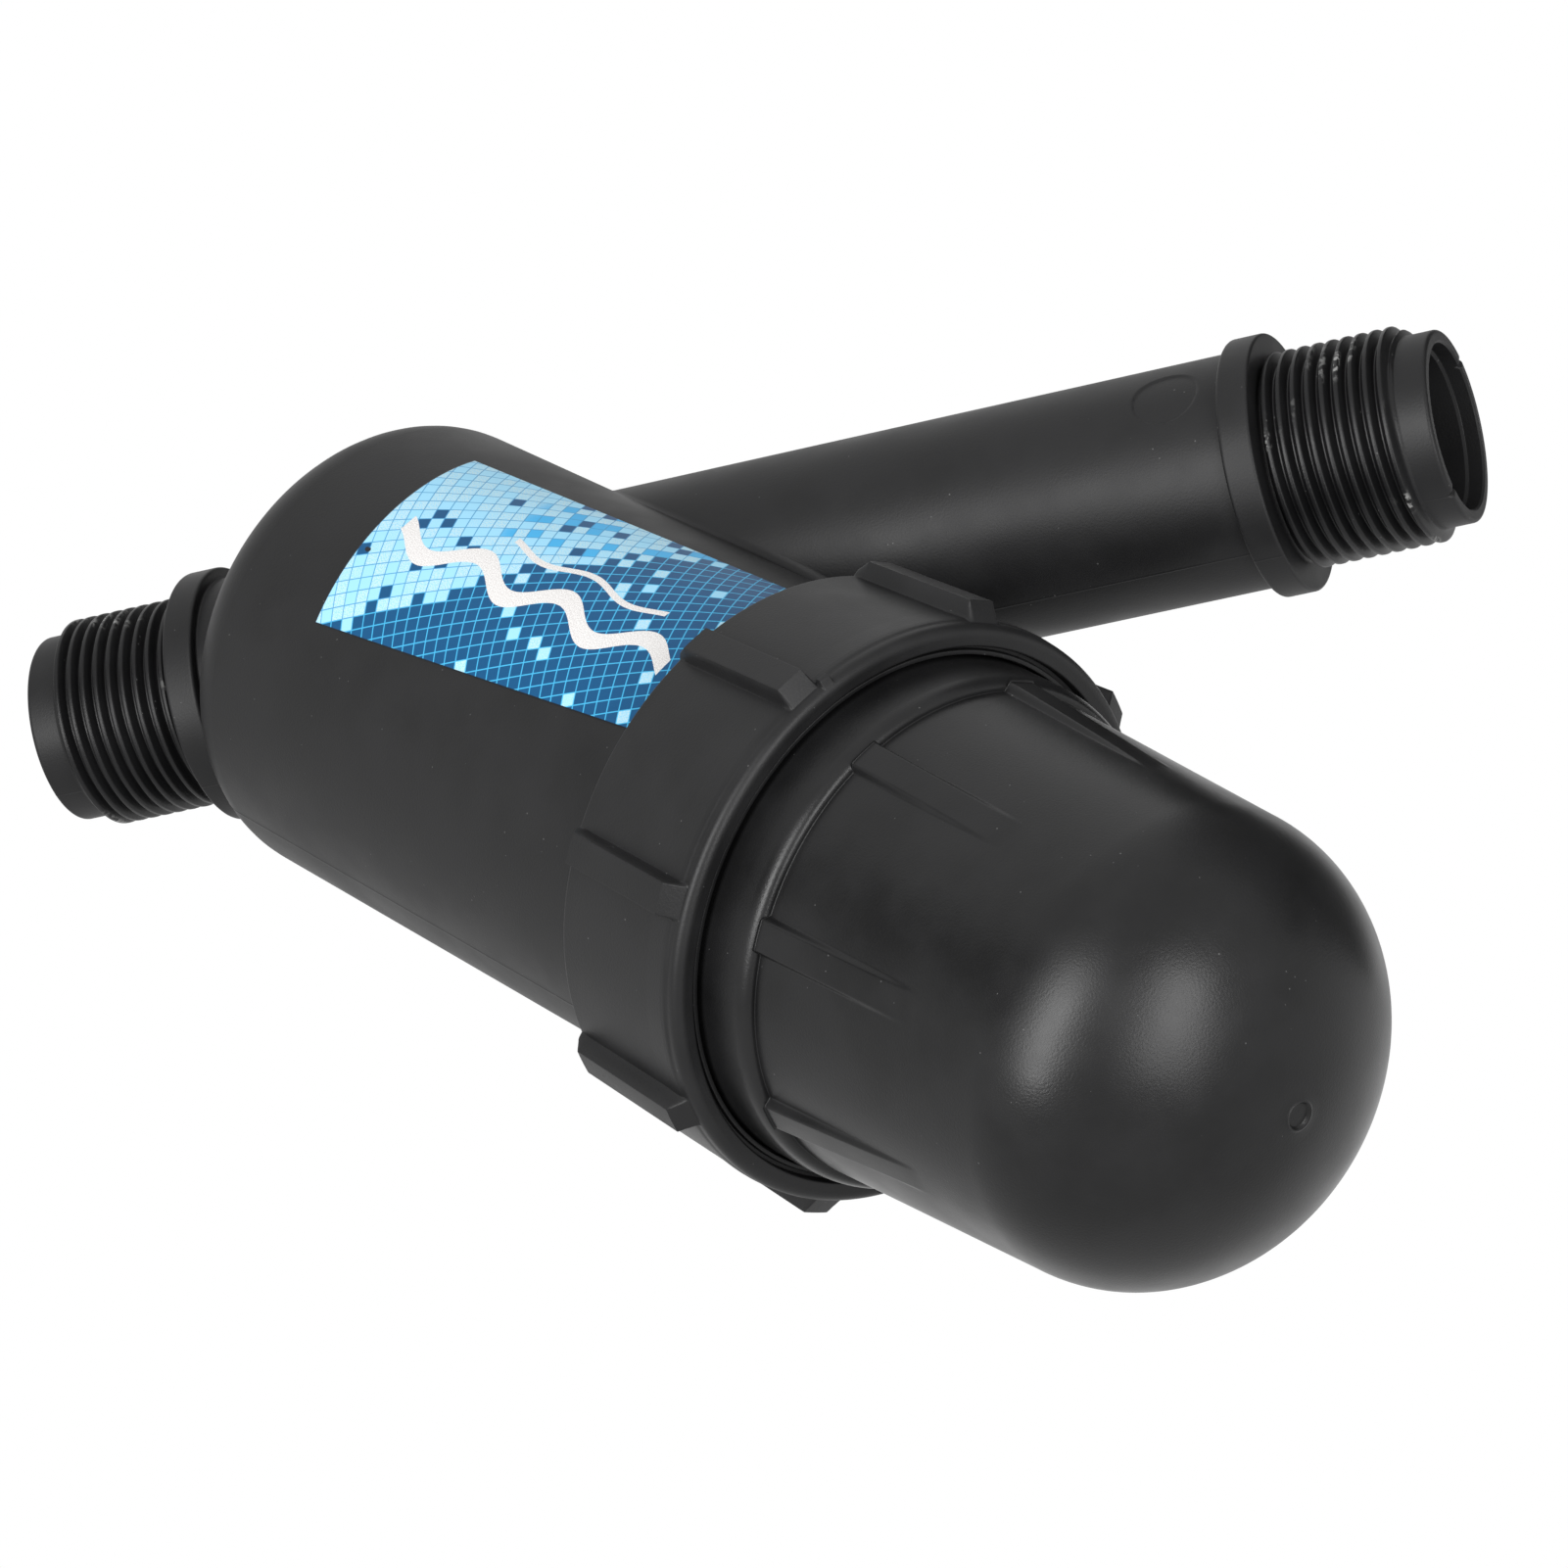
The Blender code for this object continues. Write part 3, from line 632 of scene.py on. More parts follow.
@dataclass(frozen=True)
class Plastic:
    """Black or coloured moulded plastic.

    The colour drifts slowly, a fine grain breaks the gloss, pale specks of dust lie on it,
    and an edge value rubs it paler.
    """

    name: str
    colour: Colour
    roughness: float = 0.5
    specular: float = 0.4
    drift: float = 0.25
    gloss_drift: float = 0.08
    tone_band: Span = (0.3, 0.7)
    grain: float = 3600.0
    grain_height: float = 0.020 * MM
    speck_share: float = 0.05
    speck_colour: Colour = (0.075, 0.075, 0.075)
    rub: float = 0.0
    rub_colour: Colour = (0.24, 0.24, 0.235)

    def build(self, groups: dict[str, Tree]) -> Material:
        """Return the material, made from the shared groups.

        Args:
            groups: Shared node groups by name.

        Returns:
            The material.
        """
        material, graph, shader = new_material(self.name)
        vector = graph.add("TexCoord").outputs["Object"]
        grain = graph.use(groups["grain"], Vector=vector, Grain=self.grain)
        specks = graph.use(groups["specks"], Vector=vector, Share=self.speck_share)
        factors = (1.0 - self.drift, 1.0 + self.drift)
        dark, pale = [tuple(channel * factor for channel in self.colour) for factor in factors]
        tone = graph.ramp(grain["Mottle"], *self.tone_band)
        colour = graph.mix(tone, rgba(dark), rgba(pale))
        colour = graph.mix(specks["Mask"], colour, rgba(self.speck_colour))
        if self.rub > 0.0:
            edge = graph.value("crest")
            wear = graph.use(groups["wear"], Vector=vector, Edge=edge, Amount=self.rub)
            colour = graph.mix(wear["Mask"], colour, rgba(self.rub_colour))
        level = self.roughness - self.gloss_drift / 2.0
        graph.fill(
            shader,
            Base_Color=colour,
            Roughness=graph.math("MULTIPLY_ADD", tone, self.gloss_drift, level),
            Specular_IOR_Level=self.specular,
            Normal=graph.bump(grain["Height"], self.grain_height),
        )
        return material


@dataclass(frozen=True)
class Rubber:
    """Matte black rubber with a faint bloom."""

    name: str
    colour: Colour = (0.012, 0.012, 0.012)
    bloom: Colour = (0.035, 0.035, 0.036)
    roughness: float = 0.55
    bloom_roughness: float = 0.12
    bloom_band: Span = (0.42, 0.75)
    grain: float = 5200.0
    grain_height: float = 0.01 * MM

    def build(self, groups: dict[str, Tree]) -> Material:
        """Return the material, made from the shared groups.

        Args:
            groups: Shared node groups by name.

        Returns:
            The material.
        """
        material, graph, shader = new_material(self.name)
        vector = graph.add("TexCoord").outputs["Object"]
        grain = graph.use(groups["grain"], Vector=vector, Grain=self.grain)
        bloom = graph.ramp(grain["Mottle"], *self.bloom_band)
        graph.fill(
            shader,
            Base_Color=graph.mix(bloom, rgba(self.colour), rgba(self.bloom)),
            Roughness=graph.math("MULTIPLY_ADD", bloom, self.bloom_roughness, self.roughness),
            Normal=graph.bump(grain["Height"], self.grain_height),
        )
        return material


@dataclass(frozen=True)
class Ribbon:
    """Wavy band on the film, in the units of its UV map.

    The band's middle is a level plus a swing times the sine of the distance along, and the
    band ends at two distances along the film.
    """

    level: float
    width: float
    swing: float
    ends: Span
    waves: float = 6.2

    def mask(self, graph: Graph, along: Socket, across: Socket) -> Socket:
        """Return a mask of the band.

        Args:
            graph: The material's Graph.
            along: Distance along the film.
            across: Distance across the film.

        Returns:
            The mask, 1 on the band.
        """
        turn = graph.math("SINE", graph.math("MULTIPLY", along, self.waves * TURN))
        middle = graph.math("MULTIPLY_ADD", turn, self.swing, self.level)
        offset = graph.math("ABSOLUTE", graph.math("SUBTRACT", across, middle))
        band = graph.math("LESS_THAN", offset, self.width / 2.0)
        started = graph.math("GREATER_THAN", along, self.ends[0])
        stopped = graph.math("LESS_THAN", along, self.ends[1])
        return graph.math("MULTIPLY", band, graph.math("MULTIPLY", started, stopped))


@dataclass(frozen=True)
class MosaicFilm:
    """Printed film with a mosaic of blue tiles that turns from pale to dark.

    The UV map holds the distance along and across the film in tenths of a metre. A tile's
    place in the slanted tile grid gives it a random number, and that number and the tile's
    row choose its colour: the dark field is where the row is under dark_bend times the
    column squared, plus dark_level and a random step of up to dark_step.
    """

    name: str
    tile: float = 1.76 * MM
    slant: float = math.radians(29.0)
    uv_unit: float = 100.0 * MM
    pale: Colour = (0.30, 0.61, 0.80)
    bright: Colour = (0.050, 0.38, 0.70)
    dark: Colour = (0.002, 0.066, 0.172)
    flake: Colour = (0.56, 0.66, 0.64)
    dim: Colour = (0.16, 0.33, 0.42)
    pale_joint: Colour = (0.035, 0.24, 0.48)
    dark_joint: Colour = (0.060, 0.42, 0.70)
    silver: Colour = (0.76, 0.75, 0.74)
    dull_silver: Colour = (0.56, 0.54, 0.53)
    nick_colour: Colour = (0.010, 0.010, 0.012)
    # Painted shadow: this near-black colour is laid along the film's border and stands in for the
    # shade at the film's edge.
    edge_shadow_colour: Colour = (0.004, 0.010, 0.020)
    dark_bend: float = 0.0072
    dark_level: float = -2.4
    dark_step: float = 1.3
    stray_dark: float = 0.085
    stray_bright: float = 0.90
    stray_pale: float = 0.93
    joint_start: float = 0.442
    joint_stop: float = 0.478
    joint_share: float = 0.9
    dark_joint_more: float = 0.010
    flake_share: float = 0.75
    dim_share: float = 0.30
    ribbons: tuple[Ribbon, ...] = (
        Ribbon(0.150, 0.026, 0.018, (0.055, 0.575)),
        Ribbon(0.205, 0.009, 0.008, (0.215, 0.505)),
    )
    nick_place: Span = (0.037, 0.109)
    nick_size: float = 0.0036
    nick_stretch: float = 0.55
    nick_raggedness: float = 1.6
    nick_scale: float = 190.0
    far_along: Span = (0.14, 0.20)
    far_across: Span = (0.16, 0.22)
    light_tiles: Span = (0.38, 0.52)
    glitter_tiles: Span = (0.25, 0.6)
    flake_scale: float = 560.0
    flake_band: Span = (0.46, 0.58)
    dim_band: Span = (0.44, 0.34)
    speckle_scale: float = 640.0
    speckle_band: Span = (0.40, 0.60)
    # Share of the inside value over which the painted edge shadow fades into the print.
    edge_shadow_band: Span = (0.75, 1.0)
    roughness: float = 0.28
    speckle_roughness: float = 0.25
    silver_height: float = 0.012 * MM
    specular: float = 0.22

    def grid(self, graph: Graph, along: Socket, across: Socket) -> tuple[Socket, Socket]:
        """Return the column and the row in the slanted tile grid.

        Args:
            graph: The material's Graph.
            along: Distance along the film.
            across: Distance across the film.

        Returns:
            The column and the row, which are whole numbers at the joints.
        """
        unit = self.uv_unit / self.tile
        cosine, sine = math.cos(self.slant) * unit, math.sin(self.slant) * unit
        column = graph.math("MULTIPLY_ADD", along, cosine, graph.math("MULTIPLY", across, sine))
        row = graph.math("MULTIPLY_ADD", across, cosine, graph.math("MULTIPLY", along, -sine))
        return column, row

    def joint(self, graph: Graph, places: Sequence[Socket], start: Socket) -> Socket:
        """Return a mask of the joints: close to a whole column or row number.

        Args:
            graph: The material's Graph.
            places: The column and the row.
            start: Offset from a tile's middle at which its joint starts.

        Returns:
            The mask, 1 on the joints.
        """
        masks = []
        for place in places:
            offset = graph.math("SUBTRACT", graph.math("FRACT", place), 0.5)
            masks.append(graph.ramp(graph.math("ABSOLUTE", offset), start, self.joint_stop))
        return graph.math("MAXIMUM", *masks)

    def nick(self, graph: Graph, uv: Socket, along: Socket, across: Socket) -> Socket:
        """Return a mask of the small nick near the film's rear edge: a ragged stretched spot.

        Args:
            graph: The material's Graph.
            uv: The film's UV vector.
            along: Distance along the film.
            across: Distance across the film.

        Returns:
            The mask, 1 on the nick.
        """
        aside = graph.math("SUBTRACT", along, self.nick_place[0])
        away = graph.vector(
            graph.math("MULTIPLY", aside, self.nick_stretch),
            graph.math("SUBTRACT", across, self.nick_place[1]),
        )
        reach = graph.add("VectorMath", {"operation": "LENGTH"}, i0=away).outputs["Value"]
        rough = graph.noise(uv, self.nick_scale, 3.0)
        size = -self.nick_raggedness * self.nick_size
        ragged = graph.math("MULTIPLY_ADD", rough, size, reach)
        return graph.math("LESS_THAN", ragged, 0.0)

    def tiles(self, graph: Graph, uv: Socket, along: Socket, across: Socket) -> Socket:
        """Return the colour of the tiles and their joints.

        Args:
            graph: The material's Graph.
            uv: The film's UV vector.
            along: Distance along the film.
            across: Distance across the film.

        Returns:
            The colour.
        """
        column, row = self.grid(graph, along, across)
        column_number, row_number = graph.math("FLOOR", column), graph.math("FLOOR", row)
        random = graph.chance("2D", Vector=graph.vector(column_number, row_number)).outputs
        chance = random["Value"]
        shade_number = graph.add("SeparateColor", None, Color=random["Color"]).outputs[1]
        curve = graph.math("MULTIPLY", column_number, column_number)
        step = graph.chance("1D", W=column_number).outputs["Value"]
        edge = graph.math("MULTIPLY_ADD", curve, self.dark_bend, self.dark_level)
        edge = graph.math("MULTIPLY_ADD", step, self.dark_step, edge)
        is_dark = graph.math("LESS_THAN", row_number, edge)
        far = graph.ramp(along, *self.far_along), graph.ramp(across, *self.far_across)
        far = graph.math("MULTIPLY", *far)
        bright = graph.math("MULTIPLY", graph.math("GREATER_THAN", chance, self.stray_bright), far)
        pale_field = graph.mix(bright, rgba(self.pale), rgba(self.bright))
        stray = graph.math("LESS_THAN", chance, self.stray_dark)
        pale_field = graph.mix(stray, pale_field, rgba(self.dark))
        stray = graph.math("GREATER_THAN", chance, self.stray_pale)
        dark_field = graph.mix(stray, rgba(self.dark), rgba(self.pale))
        colour = graph.mix(is_dark, pale_field, dark_field)
        colour = self.glitter(graph, uv, shade_number, colour)
        joints = graph.mix(is_dark, rgba(self.pale_joint), rgba(self.dark_joint))
        start = graph.math("MULTIPLY_ADD", is_dark, -self.dark_joint_more, self.joint_start)
        mask = graph.math("MULTIPLY", self.joint(graph, (column, row), start), self.joint_share)
        return graph.mix(mask, colour, joints)

    def glitter(self, graph: Graph, uv: Socket, shade_number: Socket, colour: Socket) -> Socket:
        """Return a colour with pale flakes and dim spots on some of its light tiles.

        Args:
            graph: The material's Graph.
            uv: The film's UV vector.
            shade_number: The tile's second random number.
            colour: Colour of the tiles.

        Returns:
            The new colour.
        """
        flake = graph.noise(uv, self.flake_scale, 4.0)
        lightness = graph.add("RGBToBW", None, Color=colour).outputs[0]
        light = graph.ramp(lightness, *self.light_tiles)
        glitter = graph.math("MULTIPLY", light, graph.ramp(shade_number, *self.glitter_tiles))
        for band, share, paint in (
            (self.flake_band, self.flake_share, self.flake),
            (self.dim_band, self.dim_share, self.dim),
        ):
            mask = graph.math("MULTIPLY", glitter, graph.ramp(flake, *band))
            colour = graph.mix(graph.math("MULTIPLY", mask, share), colour, rgba(paint))
        return colour

    def build(self, groups: dict[str, Tree]) -> Material:
        """Return the material of the printed film, which needs none of the shared groups.

        Args:
            groups: Shared node groups by name; not used.

        Returns:
            The material.
        """
        material, graph, shader = new_material(self.name)
        uv = graph.add("TexCoord").outputs["UV"]
        along, across, _ = graph.add("SeparateXYZ", None, Vector=uv).outputs
        colour = self.tiles(graph, uv, along, across)
        silver = graph.math("MAXIMUM", *[band.mask(graph, along, across) for band in self.ribbons])
        speckle = graph.noise(uv, self.speckle_scale, 4.0)
        metal = graph.ramp(speckle, *self.speckle_band)
        metal = graph.mix(metal, rgba(self.dull_silver), rgba(self.silver))
        colour = graph.mix(silver, colour, metal)
        nick = self.nick(graph, uv, along, across)
        colour = graph.mix(nick, colour, rgba(self.nick_colour))
        # Painted shadow: where the inside value falls to nought at the film's border, the colour
        # turns to the painted edge shadow.
        inside = graph.ramp(graph.value("inside"), *self.edge_shadow_band)
        rough = graph.math("MULTIPLY_ADD", speckle, self.speckle_roughness, self.roughness)
        graph.fill(
            shader,
            Base_Color=graph.mix(inside, rgba(self.edge_shadow_colour), colour),
            Roughness=rough,
            Specular_IOR_Level=self.specular,
            Normal=graph.bump(silver, self.silver_height),
        )
        return material


class Finish(Enum):
    """Finishes of the pieces."""

    BODY = Plastic("black_body_plastic", (0.0072, 0.0072, 0.0076), 0.50, 0.27)
    THREAD = Plastic(
        "black_thread_plastic", (0.0060, 0.0060, 0.0064), 0.40, 0.24, rub=0.42, speck_share=0.08
    )
    NUT = Plastic("black_nut_plastic", (0.0082, 0.0082, 0.0086), 0.46, 0.27)
    BOWL = Plastic("black_bowl_plastic", (0.0068, 0.0068, 0.0071), 0.33, 0.27)
    CORE = Plastic("core_plastic", (0.024, 0.024, 0.026), 0.46)
    DISC = Plastic(
        "red_disc_plastic", (0.42, 0.030, 0.022), 0.38, drift=0.12, speck_share=0.004
    )
    RUBBER = Rubber("seal_rubber")
    LABEL = MosaicFilm("mosaic_film")


class Palette:
    """Builds each finish's material once."""

    def __init__(self) -> None:
        """Build the shared node groups."""
        self.groups = {
            "grain": build_grain_group(),
            "specks": build_speck_group(),
            "wear": build_wear_group(),
        }
        self.made: dict[Finish, Material] = {}

    def get(self, finish: Finish) -> Material:
        """Return a finish's material.

        Args:
            finish: The finish.

        Returns:
            Its material, built the first time that it is asked for.
        """
        if finish not in self.made:
            self.made[finish] = finish.value.build(self.groups)
        return self.made[finish]


def arc_points(radius: float, depth: float, rim: float, steps: int, towards: int) -> list[Corner]:
    """Return corners of a dome's quarter ellipse from its rim to its pole.

    The radius falls with the cosine and the station moves on with the sine of one angle.

    Args:
        radius: Radius at the dome's rim.
        depth: Height of the dome.
        rim: Station of the dome's rim.
        steps: Number of segments.
        towards: 1 for a dome towards higher stations, -1 for one towards lower.

    Returns:
        Rows of (radius, station, fillet).
    """
    angles = np.linspace(0.0, QUARTER, steps + 1)
    reach = radius * np.cos(angles)
    reach[-1] = 0.0
    stations = rim + towards * depth * np.sin(angles)
    return [(float(r), float(s), 0.0) for r, s in zip(reach, stations)]


def bump_angles(centres: Array, half: float, edge: float, count: int = 9) -> Array:
    """Return angles packed about both edges of features at some centres.

    Args:
        centres: Angles of the features' middles.
        half: Half width of a feature, as an angle.
        edge: Width of its side, as an angle.
        count: Number of angles at each edge.

    Returns:
        The angles, unsorted.
    """
    near = np.linspace(half - edge, half + 0.6 * edge, count)
    offsets = np.concatenate([-near, near])
    return (np.asarray(centres)[:, None] + offsets[None, :]).ravel()


def centre_angles(count: int, phase: float) -> Array:
    """Return evenly spaced angles from a first one on."""
    return phase + np.arange(count) * TURN / count


def nearest_offset(angles: Array, count: int, phase: float) -> Array:
    """Return each angle's signed offset from the nearest of evenly spaced centres, as a row."""
    pitch = TURN / count
    return (np.mod(angles - phase + pitch / 2.0, pitch) - pitch / 2.0)[None, :]


def plateau(offset: Array, half: float, edge: float) -> Array:
    """Return a flat-topped bump: one inside its half width, with a short S-shaped side."""
    return smooth_step((half - np.abs(offset)) / edge + 0.5)


def off_side(angles: Array) -> Array:
    """Return each angle's distance from the nearer parting line, as a row.

    The mould parts in the middle plane of both axes, a quarter turn from the front.
    """
    return np.abs(np.abs(np.mod(angles + math.pi, TURN) - math.pi) - QUARTER)[None, :]


def parting_angles(*spreads: tuple[float, int]) -> list[Array]:
    """Return extra columns at both parting lines, for spreads of (degrees, count).

    Args:
        *spreads: Half width in degrees and count of each spread.

    Returns:
        One array for each parting line.
    """
    rows = [np.linspace(-reach, reach, count) for reach, count in spreads]
    fine = np.radians(np.concatenate(rows))
    return [QUARTER + fine, -QUARTER + fine]


def thread_height(phase: Array, crest: float, root: float, soft: float = 0.06) -> Array:
    """Return a thread's height from root 0 to crest 1 over its pitch.

    The phase runs once per pitch. The crest and the root are flats of the given shares,
    and the flanks between them are straight with softened corners.

    Args:
        phase: Number of pitches along the thread.
        crest: Crest's share of the pitch.
        root: Root's share of the pitch.
        soft: How much the corners are softened.

    Returns:
        The height.
    """
    offset = np.abs(np.mod(phase, 1.0) - 0.5)
    flank = 0.5 - (crest + root) / 2.0
    raw = (0.5 - root / 2.0 - offset) / flank
    low = 0.5 * (raw + np.sqrt(raw * raw + soft * soft)) - soft / 2.0
    high = 1.0 - low
    return 1.0 - (0.5 * (high + np.sqrt(high * high + soft * soft)) - soft / 2.0)


@dataclass(frozen=True)
class PipeThread:
    """Male pipe thread on one end of the run: a right-hand screw surface on a thin sleeve."""

    start: float
    stop: float
    pitch: float = 1.814 * MM
    crest_radius: float = 13.20 * MM
    root_radius: float = 12.06 * MM
    inner_radius: float = 11.2 * MM
    end_radius: float = 11.72 * MM
    crest_share: float = 0.27
    root_share: float = 0.13
    fade: float = 0.55 * MM
    columns: int = 176
    half_pitch: tuple[float, ...] = (0.04, 0.10, 0.17, 0.24, 0.31, 0.37, 0.41, 0.44)

    def surface(self) -> Surface:
        """Return the threaded sleeve.

        Each column is a line along the pipe whose points sit at the same places of every
        pitch and shift by one pitch in a turn. The radius is the root's plus the thread's
        height, and both fall to the pipe's tip close to the ends.

        Returns:
            The closed surface, with the height as the value crest.
        """
        angles = np.arange(self.columns) * TURN / self.columns
        half = np.array(self.half_pitch)
        places = np.concatenate([half, [0.5], 1.0 - half[::-1]])
        turns = np.arange(-2, math.ceil((self.stop - self.start) / self.pitch) + 2)
        phase = (turns[:, None] + places[None, :]).reshape(-1, 1)
        station = self.start + self.pitch * (phase - angles[None, :] / TURN)
        inside = np.clip(station, self.start, self.stop)
        fade = window(inside, (self.start, self.fade), (self.stop, self.fade))
        height = thread_height(phase, self.crest_share, self.root_share) * fade
        root = self.end_radius + (self.root_radius - self.end_radius) * fade
        radius = root + (self.crest_radius - self.root_radius) * height
        points = RUN_AXIS.place(radius, angles[None, :], inside).reshape(-1, 3)
        faces = self.spiral_faces(*station.shape, len(places))
        return joined([Surface(points, faces, {"crest": height.ravel()}), self.sleeve(angles)])

    def spiral_faces(self, rows: int, columns: int, per_turn: int) -> Array:
        """Return the faces of columns that join with a shift of one pitch after a turn.

        Args:
            rows: Number of rows.
            columns: Number of columns.
            per_turn: Rows in one pitch.

        Returns:
            Rows of four vertex numbers.
        """
        first = np.arange(rows - per_turn - 1) * columns
        last = first + per_turn * columns + columns - 1
        seam = np.stack([last, first, first + columns, last + columns], axis=-1)
        return np.concatenate([grid_faces(rows, columns, False, False), seam])

    def sleeve(self, angles: Array) -> Surface:
        """Return the sleeve's end faces and its inner wall as one open strip of rings.

        Args:
            angles: Angles of the columns.

        Returns:
            The open surface.
        """
        radius = np.array([self.end_radius, self.inner_radius, self.inner_radius, self.end_radius])
        station = np.array([self.start, self.start, self.stop, self.stop])
        points = RUN_AXIS.place(radius[:, None], angles[None, :], station[:, None])
        ring = grid_surface(points, False)
        ring.values["crest"] = np.zeros(len(ring.points))
        return ring


@dataclass(frozen=True)
class Barrel:
    """Filter barrel of the housing: domed shell, partition with a socket, and mouth thread."""

    front_radius: float = 30.4 * MM
    front: float = 75.0 * MM
    rear_radius: float = 29.3 * MM
    rear: float = -0.9 * MM
    dome_depth: float = 14.0 * MM
    dome_steps: tuple[int, int] = (26, 18)
    wall: float = 3.0 * MM
    mouth: float = 90.0 * MM
    bore_radius: float = 27.4 * MM
    thread_start: float = 77.6 * MM
    thread_root: float = 31.75 * MM
    thread_crest: float = 32.68 * MM
    thread_lead: float = 4.0 * MM
    thread_row: float = 0.30 * MM
    partition: Span = (10.0 * MM, 13.0 * MM)
    socket_radius: float = 11.4 * MM
    socket_wall: float = 2.2 * MM
    socket_end: float = 24.0 * MM
    way_radius: float = 9.95 * MM
    outlet_way: Span = (10.0 * MM, BARREL_CROSSING)
    inlet_way: Span = (74.4 * MM, 130.0 * MM)
    ridge_height: float = 0.05 * MM
    ridge_width: float = 0.11 * MM
    ridge_inner_radius: float = 3.0 * MM
    columns: int = 240

    def radius(self, station: Array) -> Array:
        """Return the outer radius of the slightly tapered wall."""
        share = (station - self.rear) / (self.front - self.rear)
        return self.rear_radius + (self.front_radius - self.rear_radius) * share

    def field(self, points: Array) -> tuple[Array, Array]:
        """Return each point's distance from the outer face and the way out of it.

        Ahead of the dome the distance is the radius less the wall's radius. On the dome it
        is the ellipsoid's value less one, over the length of its gradient.

        Args:
            points: Array with a last dimension of three.

        Returns:
            The distances, below nought inside, and unit vectors away from the face.
        """
        along = np.array(BARREL_AXIS.direction)
        offset = points - np.array(BARREL_AXIS.origin)
        station = offset @ along
        radial = offset - station[..., None] * along
        reach = np.maximum(np.linalg.norm(radial, axis=-1), 1e-9)
        outward = radial / reach[..., None]
        behind = np.minimum(station - self.rear, 0.0)
        value = np.sqrt((reach / self.rear_radius) ** 2 + (behind / self.dome_depth) ** 2)
        gradient = (
            outward * (reach / self.rear_radius**2)[..., None]
            + along * (behind / self.dome_depth**2)[..., None]
        ) / value[..., None]
        steep = np.linalg.norm(gradient, axis=-1)
        on_dome = station < self.rear
        distance = np.where(on_dome, (value - 1.0) / steep, reach - self.radius(station))
        return distance, np.where(on_dome[..., None], gradient / steep[..., None], outward)

    def outline(self) -> tuple[Array, int]:
        """Return the shell's outline from pole to pole and the row where its mouth is.

        Returns:
            Points of (radius, station), and the row.
        """
        inner_rear = self.rear_radius - self.wall
        outer_steps, inner_steps = self.dome_steps
        outside = arc_points(self.rear_radius, self.dome_depth, self.rear, outer_steps, -1)[::-1]
        inside = arc_points(inner_rear, self.dome_depth - self.wall, self.rear, inner_steps, -1)
        socket_outer = self.socket_radius + self.socket_wall
        rear_face, front_face = self.partition
        corners = outside + [
            (self.front_radius, self.front, 0.0),
            (self.front_radius, self.thread_start - 0.3 * MM, 0.3 * MM),
            (self.thread_root, self.thread_start + 0.8 * MM, 0.3 * MM),
            (self.thread_root, self.mouth - 0.6 * MM, 0.2 * MM),
            (self.thread_root - 0.6 * MM, self.mouth, 0.2 * MM),
            (self.bore_radius + 0.7 * MM, self.mouth, 0.2 * MM),
            (self.bore_radius, self.mouth - 0.8 * MM, 0.3 * MM),
            (self.bore_radius, self.front + 0.5 * MM, 0.3 * MM),
            (float(self.radius(front_face)) - self.wall, front_face, 1.0 * MM),
            (socket_outer, front_face, 0.8 * MM),
            (socket_outer, self.socket_end, 0.4 * MM),
            (self.socket_radius, self.socket_end, 0.4 * MM),
            (self.socket_radius, rear_face, 0.3 * MM),
            (inner_rear, rear_face, 1.0 * MM),
        ]
        line = rounded(corners + inside, closed=False)
        line = refined(line, self.thread_row, self.thread_start, self.mouth, closed=False)
        return line, int(np.argmax(line[:, 1]))

    def surface(self) -> Surface:
        """Return the shell, with the mouth's screw thread and the mould's parting ridge.

        The thread's height follows the station over the lead plus the angle, and the ridge
        is a narrow bell along both sides of the middle plane.

        Returns:
            The closed surface.
        """
        line, mouth_row = self.outline()
        angles = spread_angles(self.columns, parting_angles((0.45, 7)))
        outer = (np.arange(len(line)) <= mouth_row)[:, None]
        radius, station = line[:, :1], line[:, 1:]
        rise = (self.thread_start + 0.6 * MM, 1.2 * MM)
        threaded = window(station, rise, (self.mouth - 0.7 * MM, 0.8 * MM))
        phase = station / self.thread_lead + angles[None, :] / TURN
        screw = thread_height(phase, 0.30, 0.38) * (self.thread_crest - self.thread_root)
        ridge = self.ridge_height * bell(off_side(angles) * radius, self.ridge_width)
        plain = smooth_step((self.front - station) / (2.0 * MM))
        plain = plain * (radius > self.ridge_inner_radius)
        return turned(BARREL_AXIS, line, angles, outer * (screw * threaded + ridge * plain), False)

    def way_cutters(self) -> list[Item]:
        """Return plain rods for the two water ways through the shell.

        Returns:
            The rods.
        """
        rods = []
        for name in ("outlet_way", "inlet_way"):
            near, far = getattr(self, name)
            reach = self.way_radius
            rod = np.array([(0.0, near), (reach, near), (reach, far), (0.0, far)])
            rods.append(make_mesh(name, turned(RUN_AXIS, rod, spread_angles(96), closed=False)))
        return rods


